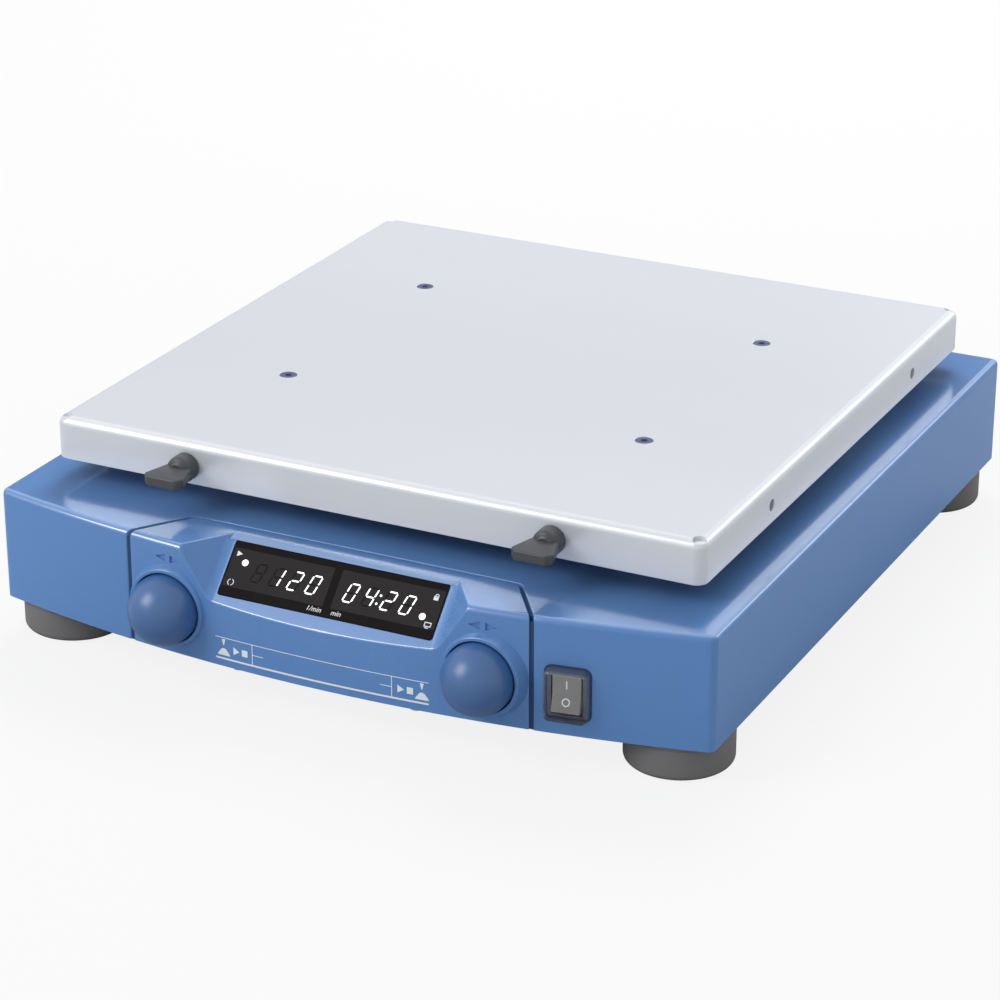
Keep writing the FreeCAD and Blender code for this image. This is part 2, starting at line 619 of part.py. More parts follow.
def revolve(body, sketch, axis="V_Axis", kind="Revolution"):
    """Turn a sketch a full circle about one of its own axes."""
    feature = body.newObject("PartDesign::" + kind, kind)
    feature.Profile = sketch
    feature.ReferenceAxis = (sketch, [axis])
    feature.Angle = 360
    doc.recompute()
    return feature


def edge_names(shape, test):
    """Return the names of the edges that pass a test of their middle and their ends."""
    names = []
    for index, edge in enumerate(shape.Edges, start=1):
        middle = edge.valueAt((edge.FirstParameter + edge.LastParameter) / 2)
        ends = [vertex.Point for vertex in edge.Vertexes]
        if test(middle, ends):
            names.append("Edge%d" % index)
    return names


def is_upright(ends):
    """Tell whether an edge runs straight up."""
    if len(ends) != 2:
        return False
    across = ends[0] - ends[1]
    return abs(across.x) < 1e-4 and abs(across.y) < 1e-4


def dress(body, kind, base, size, test):
    """Round or chamfer the edges of the last feature that pass a test."""
    feature = body.newObject("PartDesign::" + kind, kind)
    feature.Base = (base, edge_names(base.Shape, test))
    bind(feature, "Radius" if kind == "Fillet" else "Size", size)
    doc.recompute()
    return feature


def box(name, width, depth, height, x, y, z):
    """Make a box whose centre of base is at a point."""
    item = doc.addObject("Part::Box", name)
    bind(item, "Length", width)
    bind(item, "Width", depth)
    bind(item, "Height", height)
    corner_x = "%s - (%s) / 2" % (x, width)
    corner_y = "%s - (%s) / 2" % (y, depth)
    return place(item, corner_x, corner_y, z)


TURNS = {
    "z": Rotation(),
    "x": Rotation(Vector(0, 1, 0), 90),
    "y": Rotation(Vector(1, 0, 0), -90),
    "-y": Rotation(Vector(1, 0, 0), 90),
}


def cylinder(name, radius, length, x, y, z, axis="z"):
    """Make a cylinder that starts at a point and runs along an axis."""
    item = doc.addObject("Part::Cylinder", name)
    bind(item, "Radius", radius)
    bind(item, "Height", length)
    item.Placement = Placement(Vector(), TURNS[axis])
    return place(item, x, y, z)


def cone(name, low_radius, high_radius, length, x, y, z, axis="z"):
    """Make a cone that starts at a point and runs along an axis."""
    item = doc.addObject("Part::Cone", name)
    bind(item, "Radius1", low_radius)
    bind(item, "Radius2", high_radius)
    bind(item, "Height", length)
    item.Placement = Placement(Vector(), TURNS[axis])
    return place(item, x, y, z)


def join(name, items):
    """Fuse several objects."""
    item = doc.addObject("Part::MultiFuse", name)
    item.Shapes = items
    return item


def subtract(name, base, tools):
    """Cut one or more tools out of an object."""
    item = doc.addObject("Part::Cut", name)
    item.Base = base
    item.Tool = tools[0] if len(tools) == 1 else join(name + "_tools", tools)
    return item


def group(name, items):
    """Gather separate solids in one object."""
    item = doc.addObject("Part::Compound", name)
    item.Links = items
    return item


def ring(name, outer, inner, length, x, y, z, axis="z"):
    """Make a plain ring."""
    rim = cylinder(name + "_rim", outer, length, x, y, z, axis)
    bore = cylinder(name + "_bore", inner, length, x, y, z, axis)
    return subtract(name, rim, [bore])


def screw(name, x, y, seat, length, up=False, radius="screw_radius", head_radius="screw_head_radius",
          head="screw_head"):
    """Make an upright screw. Its head lies against the seat, and up tells that it points upwards."""
    if up:
        shank = cylinder(name + "_shank", radius, length, x, y, seat)
        cap = cylinder(name + "_head", head_radius, head, x, y, "%s - %s" % (seat, head))
    else:
        shank = cylinder(name + "_shank", radius, length, x, y, "%s - (%s)" % (seat, length))
        cap = cylinder(name + "_head", head_radius, head, x, y, seat)
    return join(name, [shank, cap])


def sides():
    """Return the left and the right side as a name and a sign."""
    return (("left", "-"), ("right", ""))


def post_places():
    """Return the four post centres as name, x and y."""
    places = []
    for end, y in (("front", "post_y_front"), ("rear", "post_y_rear")):
        for side, sign in sides():
            places.append((end + "_" + side, "%spost_x" % sign, y))
    return places


def foot_places():
    """Return the four feet as name, x and y."""
    places = []
    for end, y in (("front", "foot_y_front"), ("rear", "foot_y_rear")):
        for side, sign in sides():
            places.append((end + "_" + side, "%sfoot_x" % sign, y))
    return places


def boss_places():
    """Return the housing's screw bosses as x and y."""
    rows = ("boss_y_front", "(boss_y_front + boss_y_rear) / 2", "boss_y_rear")
    return [("%sboss_x" % sign, y) for y in rows for side, sign in sides()]


def panel_boss_places():
    """Return the front panel's screw bosses as x and y."""
    return [("%spanel_boss_x" % sign, "front + panel_wall + panel_boss_inset")
            for side, sign in sides()]


def mechanism_places():
    """Return the screws of the rod supports, the bearing block and the motor as x and y."""
    places = []
    for y in ("post_y_front", "post_y_rear"):
        for side, sign in sides():
            for turn in ("-", "+"):
                places.append(("%ssupport_x" % sign, "%s %s support_screw_y" % (y, turn)))
    for sx in ("-", ""):
        for sy in ("-", "+"):
            places.append(("%shub_screw_radius / sqrt(2)" % sx,
                           "post_centre %s hub_screw_radius / sqrt(2)" % sy))
    for angle in (0, 120, 240):
        places.append(("motor_screw_radius * cos(%d deg) - motor_distance" % angle,
                       "post_centre + motor_screw_radius * sin(%d deg)" % angle))
    return places


def bowed_corners(inset="0"):
    """Return the housing's plan as corners, with its walls drawn in by an inset."""
    half = "housing_width / 2 - (%s)" % inset
    front = "bow_centre - sqrt((bow_radius - (%s))^2 - (%s)^2)" % (inset, half)
    rear = "housing_rear - (%s)" % inset
    return (("-(%s)" % half, front), (half, front), (half, rear), ("-(%s)" % half, rear))


def bowed_arc():
    """Return the bowed side of the plan: its centre, run from left to right."""
    return {0: (("0", "bow_centre"), True, "x")}


def panel_corners(gap="0", wall="0"):
    """Return the front panel's plan: left front, right front, right rear, left rear."""
    half = "panel_width / 2 + (%s) - (%s)" % (gap, wall)
    rear_half = "panel_width / 2 - panel_taper + (%s) - (%s)" % (gap, wall)
    front = "bow_centre - sqrt((bow_radius - (%s))^2 - (%s)^2)" % (wall, half)
    rear = "panel_rear + (%s) - (%s)" % (gap, wall)
    return (("-(%s)" % half, front), (half, front), (rear_half, rear), ("-(%s)" % rear_half, rear))


def make_housing():
    """Model the housing: a shell open underneath, with a bowed front cut out for the panel."""
    body = new_body("housing")
    plan = outline(new_sketch(body, offset="foot_height"), bowed_corners(), bowed_arc())
    block = pad(body, plan, "housing_height")
    base, roof = number("foot_height"), number("roof")
    rounded = dress(body, "Fillet", block, "housing_round", lambda middle, ends: is_upright(ends))
    dress(body, "Fillet", rounded, "housing_round",
          lambda middle, ends: abs(middle.z - roof) < 1e-4)
    inside = outline(new_sketch(body, offset="foot_height"), bowed_corners("housing_wall"), bowed_arc())
    pocket(body, inside, "housing_height - housing_top", backwards=True)
    bosses = new_sketch(body, offset="floor")
    for x, y in boss_places():
        circle(bosses, "boss_radius", x, y)
    pad(body, bosses, "ceiling - floor")
    cut = outline(new_sketch(body, offset="foot_height"), panel_corners("seam_gap"), bowed_arc())
    pocket(body, cut, "housing_height", backwards=True)
    slots = new_sketch(body, offset="roof")
    for name, x, y in post_places():
        slot(slots, "stroke / 2", "post_radius + post_slot_gap", x, y)
    pocket(body, slots, "housing_top")
    inlet = new_sketch(body, "XZ_Plane", "-housing_rear")
    centred_rectangle(inlet, "inlet_body_width + 2 * seat_gap", "inlet_body_height + 2 * seat_gap",
                      "-inlet_across", "inlet_z")
    centred_rectangle(inlet, "port_shell_width + 2 * seat_gap", "port_shell_height + 2 * seat_gap",
                      "port_across", "port_z")
    pocket(body, inlet, "housing_wall", backwards=True)
    spot = "placement(vector(switch_across; switch_z; -switch_face); rotation(vector(0; 1; 0); switch_turn))"
    opening = new_sketch(body, "XZ_Plane", spot)
    centred_rectangle(opening, "switch_body_width + 2 * seat_gap", "switch_body_height + 2 * seat_gap")
    pocket(body, opening, "4 * housing_wall", middle=True)
    drill = new_sketch(body, offset="floor")
    for x, y in boss_places():
        circle(drill, "screw_radius + hole_gap", x, y)
    pocket(body, drill, "boss_screw_depth + 1", backwards=True)
    return node(body, "housing")


def make_base_plate():
    """Model the steel plate that closes the housing and carries the mechanism."""
    body = new_body("base_plate")
    inset = "housing_wall + plate_gap"
    plan = outline(new_sketch(body, offset="foot_height"), bowed_corners(inset), bowed_arc())
    pad(body, plan, "plate_thickness")
    holes = new_sketch(body, offset="foot_height")
    for x, y in boss_places() + panel_boss_places() + mechanism_places():
        circle(holes, "screw_radius + hole_gap", x, y)
    for name, x, y in foot_places():
        circle(holes, "screw_radius + hole_gap", x, y)
    pocket(body, holes, "plate_thickness", backwards=True)
    return node(body, "base_plate")


def make_feet():
    """Model the four rubber feet and the screws in their recesses."""
    screws = []
    for name, x, y in foot_places():
        body = new_body("foot_" + name)
        block = pad(body, circle(new_sketch(body), "foot_radius"), "foot_height")
        dress(body, "Fillet", block, "foot_round", lambda middle, ends: middle.z < 1e-4)
        pocket(body, circle(new_sketch(body), "foot_recess_radius"), "foot_recess_depth", backwards=True)
        pocket(body, circle(new_sketch(body), "screw_radius + hole_gap"), "foot_height", backwards=True)
        node(place(body, x, y), "foot_" + name)
        length = "foot_height - foot_recess_depth + plate_thickness - seat_gap"
        screws.append(screw("foot_screw_" + name, x, y, "foot_recess_depth", length, up=True))
    node(group("foot_screws", screws), "foot_screws")


def make_housing_screws():
    """Model the screws that hold the base plate to the housing and to the front panel."""
    screws = []
    for index, (x, y) in enumerate(boss_places() + panel_boss_places()):
        screws.append(screw("housing_screw_%d" % index, x, y, "foot_height",
                            "plate_thickness + boss_screw_depth", up=True))
    node(group("housing_screws", screws), "housing_screws")


def make_mechanism_screws():
    """Model the screws that hold the drive and the rod supports on the base plate."""
    screws = []
    for index, (x, y) in enumerate(mechanism_places()):
        screws.append(screw("mechanism_screw_%d" % index, x, y, "foot_height",
                            "plate_thickness + mechanism_screw_depth", up=True))
    node(group("mechanism_screws", screws), "mechanism_screws")


def tilt(item, x="0", along="0", out="0"):
    """Put an object in the window's frame: x across, along up the window, out towards the user."""
    y = "window_y + sin(window_tilt * 1deg) * (%s) - cos(window_tilt * 1deg) * (%s)" % (along, out)
    z = "window_z + cos(window_tilt * 1deg) * (%s) + sin(window_tilt * 1deg) * (%s)" % (along, out)
    bind(item, "Placement",
         "placement(vector(%s; %s; %s); rotation(vector(1; 0; 0); 90 - window_tilt))" % (x, y, z))
    return item


def recess_section(name, out, grow, corner):
    """Draw one outline of the display recess, at a distance out from the window."""
    sketch = free_sketch(name)
    share = "(%s) / recess_reach" % out
    top = "recess_top + recess_top_flare * %s + (%s)" % (share, grow)
    low = "recess_low + recess_low_flare * %s + (%s)" % (share, grow)
    width = "window_width + 2 * (recess_side + recess_side_flare * %s + (%s))" % (share, grow)
    height = "window_height + (%s) + (%s)" % (top, low)
    middle = "window_height / 2 + ((%s) - (%s)) / 2" % (top, low)
    rounded_rectangle(sketch, width, height, corner, "0", middle)
    return tilt(sketch, out=out)


def recess_loft(name, start, grow):
    """Make the funnel of the display recess, grown on every side."""
    loft = doc.addObject("Part::Loft", name)
    inner_corner = "recess_foot + (%s)" % grow
    outer_corner = "recess_corner + (%s)" % grow
    loft.Sections = [recess_section(name + "_inner", start, grow, inner_corner),
                     recess_section(name + "_outer", "recess_reach", grow, outer_corner)]
    loft.Solid = True
    loft.Ruled = True
    return loft


def window_prism(name, margin, start, length):
    """Make an upright prism behind the window: its outline drawn in by a margin."""
    sketch = free_sketch(name + "_outline")
    rounded_rectangle(sketch, "window_width - 2 * (%s)" % margin, "window_height - 2 * (%s)" % margin,
                      "window_corner", "0", "window_height / 2")
    tilt(sketch, out=start)
    prism = doc.addObject("Part::Extrusion", name)
    prism.Base = sketch
    prism.DirMode = "Normal"
    prism.Solid = True
    bind(prism, "LengthFwd", length)
    return prism


def make_collar(side, sign):
    """Model the collar that stands round a knob, flat at its front and widening to its foot."""
    body = new_body("collar_" + side)
    foot = "knob_hole + collar_width + collar_draft"
    sketch = outline(new_sketch(body), (("knob_hole / 2", "0"), ("knob_hole + collar_width", "0"),
                                        (foot, "collar_length"), ("knob_hole / 2", "collar_length")))
    ring_shape = revolve(body, sketch)
    front = number("knob_hole") + 1e-3
    dress(body, "Fillet", ring_shape, "collar_round",
          lambda middle, ends: abs(middle.y) < 1e-4 and (middle.x ** 2 + middle.z ** 2) ** 0.5 > front)
    return place(body, "%sknob_x" % sign, "front + collar_set_back", "knob_z")


def arrow_marks(sketch):
    """Draw the pair of arrow marks above a knob: one triangle to each side."""
    for sign in ("-", ""):
        base = "%sarrow_gap" % sign
        tip = "%s(arrow_gap + arrow_length)" % sign
        outline(sketch, ((base, "-arrow_size / 2"), (tip, "0"), (base, "arrow_size / 2")))
    return sketch


def board_boss_places(sign):
    """Return the two bosses of one knob board as x and z: outer low and inner high."""
    outer = "knob_x + knob_board_hole_x / 2"
    inner = "knob_x - knob_board_hole_x / 2"
    return (("%s(%s)" % (sign, outer), "knob_z - knob_board_hole_z / 2"),
            ("%s(%s)" % (sign, inner), "knob_z + knob_board_hole_z / 2"))


def display_boss_places():
    """Return the four bosses of the display board as x and the distance along the window."""
    x = "(display_board_width / 2 - small_boss_radius - 1)"
    low = "window_height / 2 - display_board_height / 2 + small_boss_radius + 1"
    high = "window_height / 2 + display_board_height / 2 - small_boss_radius - 1"
    return [("%s%s" % (sign, x), along) for along in (low, high) for sign in ("-", "")]


def make_front_panel():
    """Model the moulded front panel: bowed face, display recess, knob collars, arrows and bosses."""
    body = new_body("panel_block")
    plan = outline(new_sketch(body, offset="foot_height"), panel_corners(), bowed_arc())
    block = pad(body, plan, "housing_height")
    roof, front_line = number("roof"), number("bow_centre")
    bow = number("bow_radius")
    dress(body, "Fillet", block, "panel_round",
          lambda middle, ends: abs(middle.z - roof) < 1e-4 and len(ends) == 2
          and abs((middle - Vector(0, front_line, roof)).Length - bow) < 1e-3)

    hollow = new_body("panel_hollow")
    inner_plan = outline(new_sketch(hollow, offset="foot_height - panel_wall"),
                         panel_corners("0", "panel_wall"), bowed_arc())
    pad(hollow, inner_plan, "housing_height")
    back = box("panel_back", "2 * panel_width", "panel_reach", "housing_height - panel_skirt",
               "0", "front + panel_return + panel_reach / 2", "foot_height")
    shell = subtract("panel_shell", body, [hollow, back])

    funnel = recess_loft("recess_wall", "-(window_thickness + window_ledge)", "recess_lining")
    lining = doc.addObject("Part::MultiCommon", "recess_lining")
    lining.Shapes = [body, funnel]

    plate_space = new_body("plate_space")
    plan = outline(new_sketch(plate_space), bowed_corners("housing_wall"), bowed_arc())
    pad(plate_space, plan, "floor")

    brow = doc.addObject("Part::Box", "recess_brow")
    bind(brow, "Length", "window_width + 2 * recess_side")
    bind(brow, "Width", "brow_reach / cos(brow_tilt * 1deg)")
    bind(brow, "Height", "brow_reach")
    bind(brow, "Placement", "placement(vector(-window_width / 2 - recess_side; brow_y; "
         "roof - brow_reach * tan(brow_tilt * 1deg)); rotation(vector(1; 0; 0); brow_tilt))")

    added = [shell, lining]
    removed = [plate_space, brow, recess_loft("recess_space", "0", "0"),
               window_prism("window_seat", "0", "-window_thickness", "window_thickness"),
               window_prism("window_opening", "window_ledge", "-(window_thickness + window_ledge)",
                            "2 * window_ledge")]
    for side, sign in sides():
        added.append(make_collar(side, sign or "+"))
        removed.append(cylinder("knob_hole_" + side, "knob_hole", "2 * collar_length + 3 * panel_wall",
                                "%sknob_x" % sign, "front - collar_length", "knob_z", "y"))
        for index, (x, z) in enumerate(board_boss_places(sign)):
            start = "bow_centre - sqrt(bow_radius^2 - (%s)^2) + panel_wall / 2" % x
            post = cylinder("board_boss_%s_%d" % (side, index), "small_boss_radius",
                            "knob_board_front - (%s)" % start, x, start, z, "y")
            added.append(post)
            hole = cylinder("board_hole_%s_%d" % (side, index), "small_screw_radius + hole_gap",
                            "small_screw_length + 1", x, "knob_board_front", z, "-y")
            removed.append(hole)
    for index, (x, along) in enumerate(display_boss_places()):
        post = doc.addObject("Part::Cylinder", "display_boss_%d" % index)
        bind(post, "Radius", "small_boss_radius")
        bind(post, "Height", "module_depth + 2 * seat_gap")
        tilt(post, x, along, "-(window_thickness + window_ledge + module_depth + 2 * seat_gap)")
        added.append(post)
        hole = doc.addObject("Part::Cylinder", "display_hole_%d" % index)
        bind(hole, "Radius", "small_screw_radius + hole_gap")
        bind(hole, "Height", "small_screw_length - board_thickness + 1")
        tilt(hole, x, along, "-(window_thickness + window_ledge + module_depth + 2 * seat_gap)")
        removed.append(hole)
    for index, (x, y) in enumerate(panel_boss_places()):
        added.append(cylinder("panel_boss_%d" % index, "boss_radius", "panel_boss_height", x, y, "floor"))
        removed.append(cylinder("panel_boss_hole_%d" % index, "screw_radius + hole_gap",
                                "boss_screw_depth + 1", x, y, "floor"))
    added.append(box("panel_tongue", "panel_tongue_width", "panel_tongue + panel_wall",
                     "panel_tongue_thickness", "0", "panel_rear + (panel_tongue - panel_wall) / 2",
                     "ceiling - seat_gap - panel_tongue_thickness"))
    plain = subtract("panel_without_marks", join("panel_solid", added), removed)

    marks = []
    for side, sign in sides():
        sketch = arrow_marks(free_sketch("arrows_" + side))
        turn = "%sknob_turn" % sign
        spot = "placement(vector(%sknob_x; knob_face; foot_height + arrow_height); " % sign
        bind(sketch, "Placement",
             spot + "rotation(vector(0; 0; 1); %s) * rotation(vector(1; 0; 0); 90))" % turn)
        mark = doc.addObject("Part::Extrusion", "arrow_prism_" + side)
        mark.Base = sketch
        mark.DirMode = "Normal"
        mark.Solid = True
        mark.Symmetric = True
        bind(mark, "LengthFwd", "2 * arrow_depth")
        marks.append(mark)
    return node(subtract("front_panel", plain, marks), "front_panel")


def tilted_body(name, width, height, depth, x, along, out, corner=None):
    """Make a block in the window's frame that reaches inwards from a distance out."""
    body = new_body(name)
    sketch = new_sketch(body)
    if corner:
        rounded_rectangle(sketch, width, height, corner)
    else:
        centred_rectangle(sketch, width, height)
    pad(body, sketch, depth, backwards=True)
    return tilt(body, x, along, out)


def make_display():
    """Model the window, the two seven-segment modules and their board."""
    gap = "2 * seat_gap"
    window = tilted_body("display_window", "window_width - " + gap, "window_height - " + gap,
                         "window_thickness", "0", "window_height / 2", "0", "window_corner")
    node(window, "display_window")
    front = "-(window_thickness + window_ledge + 2 * seat_gap)"
    for name, sign in (("speed", "-"), ("timer", "")):
        module = tilted_body(name + "_display", "module_width", "module_height", "module_depth",
                             "%smodule_offset" % sign, "window_height / 2", front)
        node(module, name + "_display")
    board = tilted_body("display_board", "display_board_width", "display_board_height",
                        "board_thickness", "0", "window_height / 2", "%s - module_depth" % front)
    holes = new_sketch(board)
    for x, along in display_boss_places():
        circle(holes, "small_screw_radius + hole_gap", x, "%s - window_height / 2" % along)
    pocket(board, holes, "board_thickness")
    node(board, "display_board")


def small_screw(name, orient):
    """Make a small screw about its own axis and hand it to a function that puts it in place."""
    body = new_body(name)
    pad(body, circle(new_sketch(body), "small_screw_radius"), "small_screw_length")
    pad(body, circle(new_sketch(body), "small_head_radius"), "small_head", backwards=True)
    return orient(body)


def make_panel_screws():
    """Model the small screws of the display board and the two knob boards."""
    screws = []
    for index, (x, along) in enumerate(display_boss_places()):
        out = "-(window_thickness + window_ledge + 2 * seat_gap + module_depth + board_thickness)"
        screws.append(small_screw("display_screw_%d" % index,
                                  lambda body: tilt(body, x, along, out)))
    for side, sign in sides():
        for index, (x, z) in enumerate(board_boss_places(sign)):
            spot = "placement(vector(%s; knob_board_front + board_thickness; %s); " % (x, z)
            screws.append(small_screw("knob_board_screw_%s_%d" % (side, index),
                                      lambda body: bind(body, "Placement", spot
                                                        + "rotation(vector(1; 0; 0); 90))") or body))
    node(group("panel_screws", screws), "panel_screws")


def make_knob_parts(name, sign):
    """Model one push knob: encoder, sliding plunger, shaft and dome."""
    x = "%sknob_x" % sign
    case = box(name + "_case", "encoder_width", "encoder_depth", "encoder_height",
               x, "encoder_front + encoder_depth / 2", "knob_z - encoder_height / 2")
    bore = "sleeve_radius + running_gap"
    tube = cylinder(name + "_tube", bore + " + bushing_wall", "bushing_length + encoder_depth / 2",
                    x, "encoder_front - bushing_length", "knob_z", "y")
    hollow = cylinder(name + "_hollow", bore, "bushing_length + sleeve_reach + knob_push + seat_gap",
                      x, "encoder_front - bushing_length", "knob_z", "y")
    case_and_tube = join(name + "_case_and_tube", [case, tube])
    node(subtract(name + "_encoder", case_and_tube, [hollow]), name + "_encoder")

    start = "encoder_front + sleeve_reach - sleeve_length"
    plunger = ring(name + "_plunger", "sleeve_radius", "shaft_radius + running_gap", "sleeve_length",
                   x, start, "knob_z", "y")
    node(plunger, name + "_plunger")

    body = new_body(name + "_knob")
    dome = "knob_radius - knob_reach"
    hub_end = "%s - sqrt((knob_radius - knob_shell)^2 - knob_hub_radius^2)" % dome
    hub_rear = "knob_rear - knob_hub_set_back"
    bore = "shaft_radius + running_gap / 2"
    corners = (("0", "-knob_reach"), ("knob_radius", dome), ("knob_radius", "knob_rear"),
               ("knob_radius - knob_shell", "knob_rear"), ("knob_radius - knob_shell", dome),
               ("knob_hub_radius", hub_end), ("knob_hub_radius", hub_rear), (bore, hub_rear),
               (bore, hub_rear + " - knob_bore_depth"), ("0", hub_rear + " - knob_bore_depth"))
    arcs = {0: (("0", dome), True, "y"), 4: (("0", dome), False, "x")}
    revolve(body, outline(new_sketch(body), corners, arcs))
    node(place(body, x, "front", "knob_z"), name + "_knob")

    shaft_front = "front + %s - knob_bore_depth" % hub_rear
    shaft_rear = "encoder_front + sleeve_reach"
    shaft = cylinder(name + "_shaft", "shaft_radius", "%s - (%s)" % (shaft_rear, shaft_front),
                     x, shaft_front, "knob_z", "y")
    node(shaft, name + "_shaft")


def make_knob_boards():
    """Model the two small boards behind the knobs."""
    boards = []
    for side, sign in sides():
        board = box("knob_board_" + side, "knob_board_width", "board_thickness", "knob_board_height",
                    "%sknob_x" % sign, "knob_board_front + board_thickness / 2",
                    "knob_z - knob_board_height / 2")
        holes = [cylinder("knob_board_hole_%s_%d" % (side, index), "small_screw_radius + hole_gap",
                          "board_thickness", x, "knob_board_front", z, "y")
                 for index, (x, z) in enumerate(board_boss_places(sign))]
        boards.append(subtract("knob_board_drilled_" + side, board, holes))
    node(group("knob_boards", boards), "knob_boards")


def switch_place(body):
    """Put a body in the switch's frame: its origin on the bowed face, -y towards the user."""
    return place(body, "switch_across", "switch_face", "switch_z", "switch_turn")


def make_switch():
    """Model the rocker switch: frame with its well, rocker on two pins, clear cover."""
    frame = new_body("switch_frame")
    bezel = new_sketch(frame, "XZ_Plane")
    rounded_rectangle(bezel, "bezel_width", "bezel_height", "bezel_corner")
    pad(frame, bezel, "bezel_thickness")
    back = new_sketch(frame, "XZ_Plane")
    centred_rectangle(back, "switch_body_width", "switch_body_height")
    pad(frame, back, "switch_body_depth", backwards=True)
    well = new_sketch(frame, "XZ_Plane", "bezel_thickness")
    centred_rectangle(well, "rocker_width + 2 * well_gap", "rocker_height + 4 * well_gap")
    pocket(frame, well, "bezel_thickness + switch_well_depth")
    holes = new_sketch(frame, "YZ_Plane", "-switch_body_width / 2")
    circle(holes, "rocker_pin_radius + running_gap", "rocker_pivot", "0")
    pocket(frame, holes, "switch_body_width", backwards=True)
    node(switch_place(frame), "switch_frame")

    rocker = new_body("switch_rocker")
    lean = "placement(vector(rocker_pivot * (1 - cos(rocker_tilt * 1deg)); " \
           "rocker_pivot * sin(rocker_tilt * 1deg); 0); rotation(vector(0; 0; 1); -rocker_tilt))"
    side = new_sketch(rocker, "YZ_Plane", lean)
    half = "rocker_height / 2"
    outline(side, (("-rocker_crown", "-" + half), ("rocker_pivot + 1", "-" + half),
                   ("rocker_pivot + rocker_depth", "-rocker_pin_radius * 2"),
                   ("rocker_pivot + rocker_depth", "rocker_pin_radius * 2"),
                   ("rocker_pivot + 1", half), ("-rocker_crown", half),
                   ("rocker_dish - rocker_crown", "0")))
    pad(rocker, side, "rocker_width", middle=True)
    pins = new_sketch(rocker, "YZ_Plane")
    circle(pins, "rocker_pin_radius", "rocker_pivot", "0")
    pad(rocker, pins, "rocker_width + 2 * well_gap + 2 * rocker_pin", middle=True)
    node(switch_place(rocker), "switch_rocker")

    cover = new_body("switch_cover")
    outer = new_sketch(cover, "XZ_Plane", "seat_gap / 2")
    rounded_rectangle(outer, "cover_width", "cover_height", "cover_corner")
    block = pad(cover, outer, "cover_reach - seat_gap / 2")
    reach = number("cover_reach")
    dress(cover, "Fillet", block, "cover_round", lambda middle, ends: abs(middle.y + reach) < 1e-4)
    inner = new_sketch(cover, "XZ_Plane", "seat_gap / 2")
    rounded_rectangle(inner, "cover_width - 2 * cover_wall", "cover_height - 2 * cover_wall",
                      "cover_corner - cover_wall")
    pocket(cover, inner, "cover_reach - seat_gap / 2 - cover_wall", backwards=True)
    node(switch_place(cover), "switch_cover")


def rod_rows():
    """Return the two guide rods as a name and y."""
    return (("front", "post_y_front"), ("rear", "post_y_rear"))


def make_guides():
    """Model the two guide rods and their four clamped supports."""
    supports = []
    for end, y in rod_rows():
        rod = cylinder("guide_rod_" + end, "rod_radius", "rod_length", "-rod_length / 2", y, "rod_z", "x")
        node(rod, "guide_rod_" + end)
        for side, sign in sides():
            body = new_body("rod_support_%s_%s" % (end, side))
            foot, neck = "support_depth / 2", "support_neck / 2"
            top = "rod_z - floor + support_above"
            sketch = outline(new_sketch(body, "YZ_Plane"),
                             (("-" + foot, "0"), (foot, "0"), (foot, "support_foot"),
                              (neck, "support_foot"), (neck, top), ("-" + neck, top),
                              ("-" + neck, "support_foot"), ("-" + foot, "support_foot")))
            circle(sketch, "rod_radius + running_gap", "0", "rod_z - floor")
            pad(body, sketch, "support_width", middle=True)
            slit = new_sketch(body, "YZ_Plane")
            rectangle(slit, "-support_slit / 2", "support_slit / 2", "rod_z - floor",
                      "rod_z - floor + 2 * support_above")
            pocket(body, slit, "support_width", middle=True)
            holes = new_sketch(body)
            for turn in ("-", ""):
                circle(holes, "screw_radius + hole_gap", "0", "%ssupport_screw_y" % turn)
            pocket(body, holes, "support_foot", backwards=True)
            supports.append(place(body, "%ssupport_x" % sign, y, "floor"))
    node(group("rod_supports", supports), "rod_supports")


def make_bearing_block():
    """Model the crank's bearing block and its two bearings."""
    body = new_body("crank_bearing_block")
    pad(body, circle(new_sketch(body), "hub_flange_radius"), "hub_flange")
    pad(body, circle(new_sketch(body), "hub_radius"), "hub_top - floor")
    bore = circle(new_sketch(body, offset="bearing_floor"), "bearing_radius + running_gap")
    pocket(body, bore, "2 * bearing_width", backwards=True)
    pocket(body, circle(new_sketch(body), "crank_shaft_radius + 3"), "bearing_floor", backwards=True)
    hole = circle(new_sketch(body), "screw_radius + hole_gap", "hub_screw_radius / sqrt(2)",
                  "hub_screw_radius / sqrt(2)")
    drilled = pocket(body, hole, "hub_flange", backwards=True)
    pattern = body.newObject("PartDesign::PolarPattern", "PolarPattern")
    pattern.Originals = [drilled]
    pattern.Axis = (hole, ["N_Axis"])
    pattern.Angle = 360
    pattern.Occurrences = 4
    body.Tip = pattern
    node(place(body, "0", "post_centre", "floor"), "crank_bearing_block")
    bearings = [ring("crank_bearing_%d" % index, "bearing_radius", "crank_shaft_radius + running_gap",
                     "bearing_width - running_gap", "0", "post_centre",
                     "bearing_bottom + %d * bearing_width" % index) for index in range(2)]
    node(group("crank_bearings", bearings), "crank_bearings")


def pulley_profile(sketch, seat, web=None):
    """Draw half of a pulley's section: rims above and below the belt seat, and a web if it has one."""
    rim = "%s + pulley_rim" % seat
    corners = [("0", "0"), (rim, "0"), (rim, "pulley_rim_height"), (seat, "pulley_rim_height"),
               (seat, "pulley_height - pulley_rim_height"),
               (rim, "pulley_height - pulley_rim_height"), (rim, "pulley_height")]
    if web:
        corners += [("%s - pulley_rim_wall" % seat, "pulley_height"),
                    ("%s - pulley_rim_wall" % seat, web), ("pulley_hub_radius", web),
                    ("pulley_hub_radius", "pulley_height")]
    corners.append(("0", "pulley_height"))
    return outline(sketch, corners)


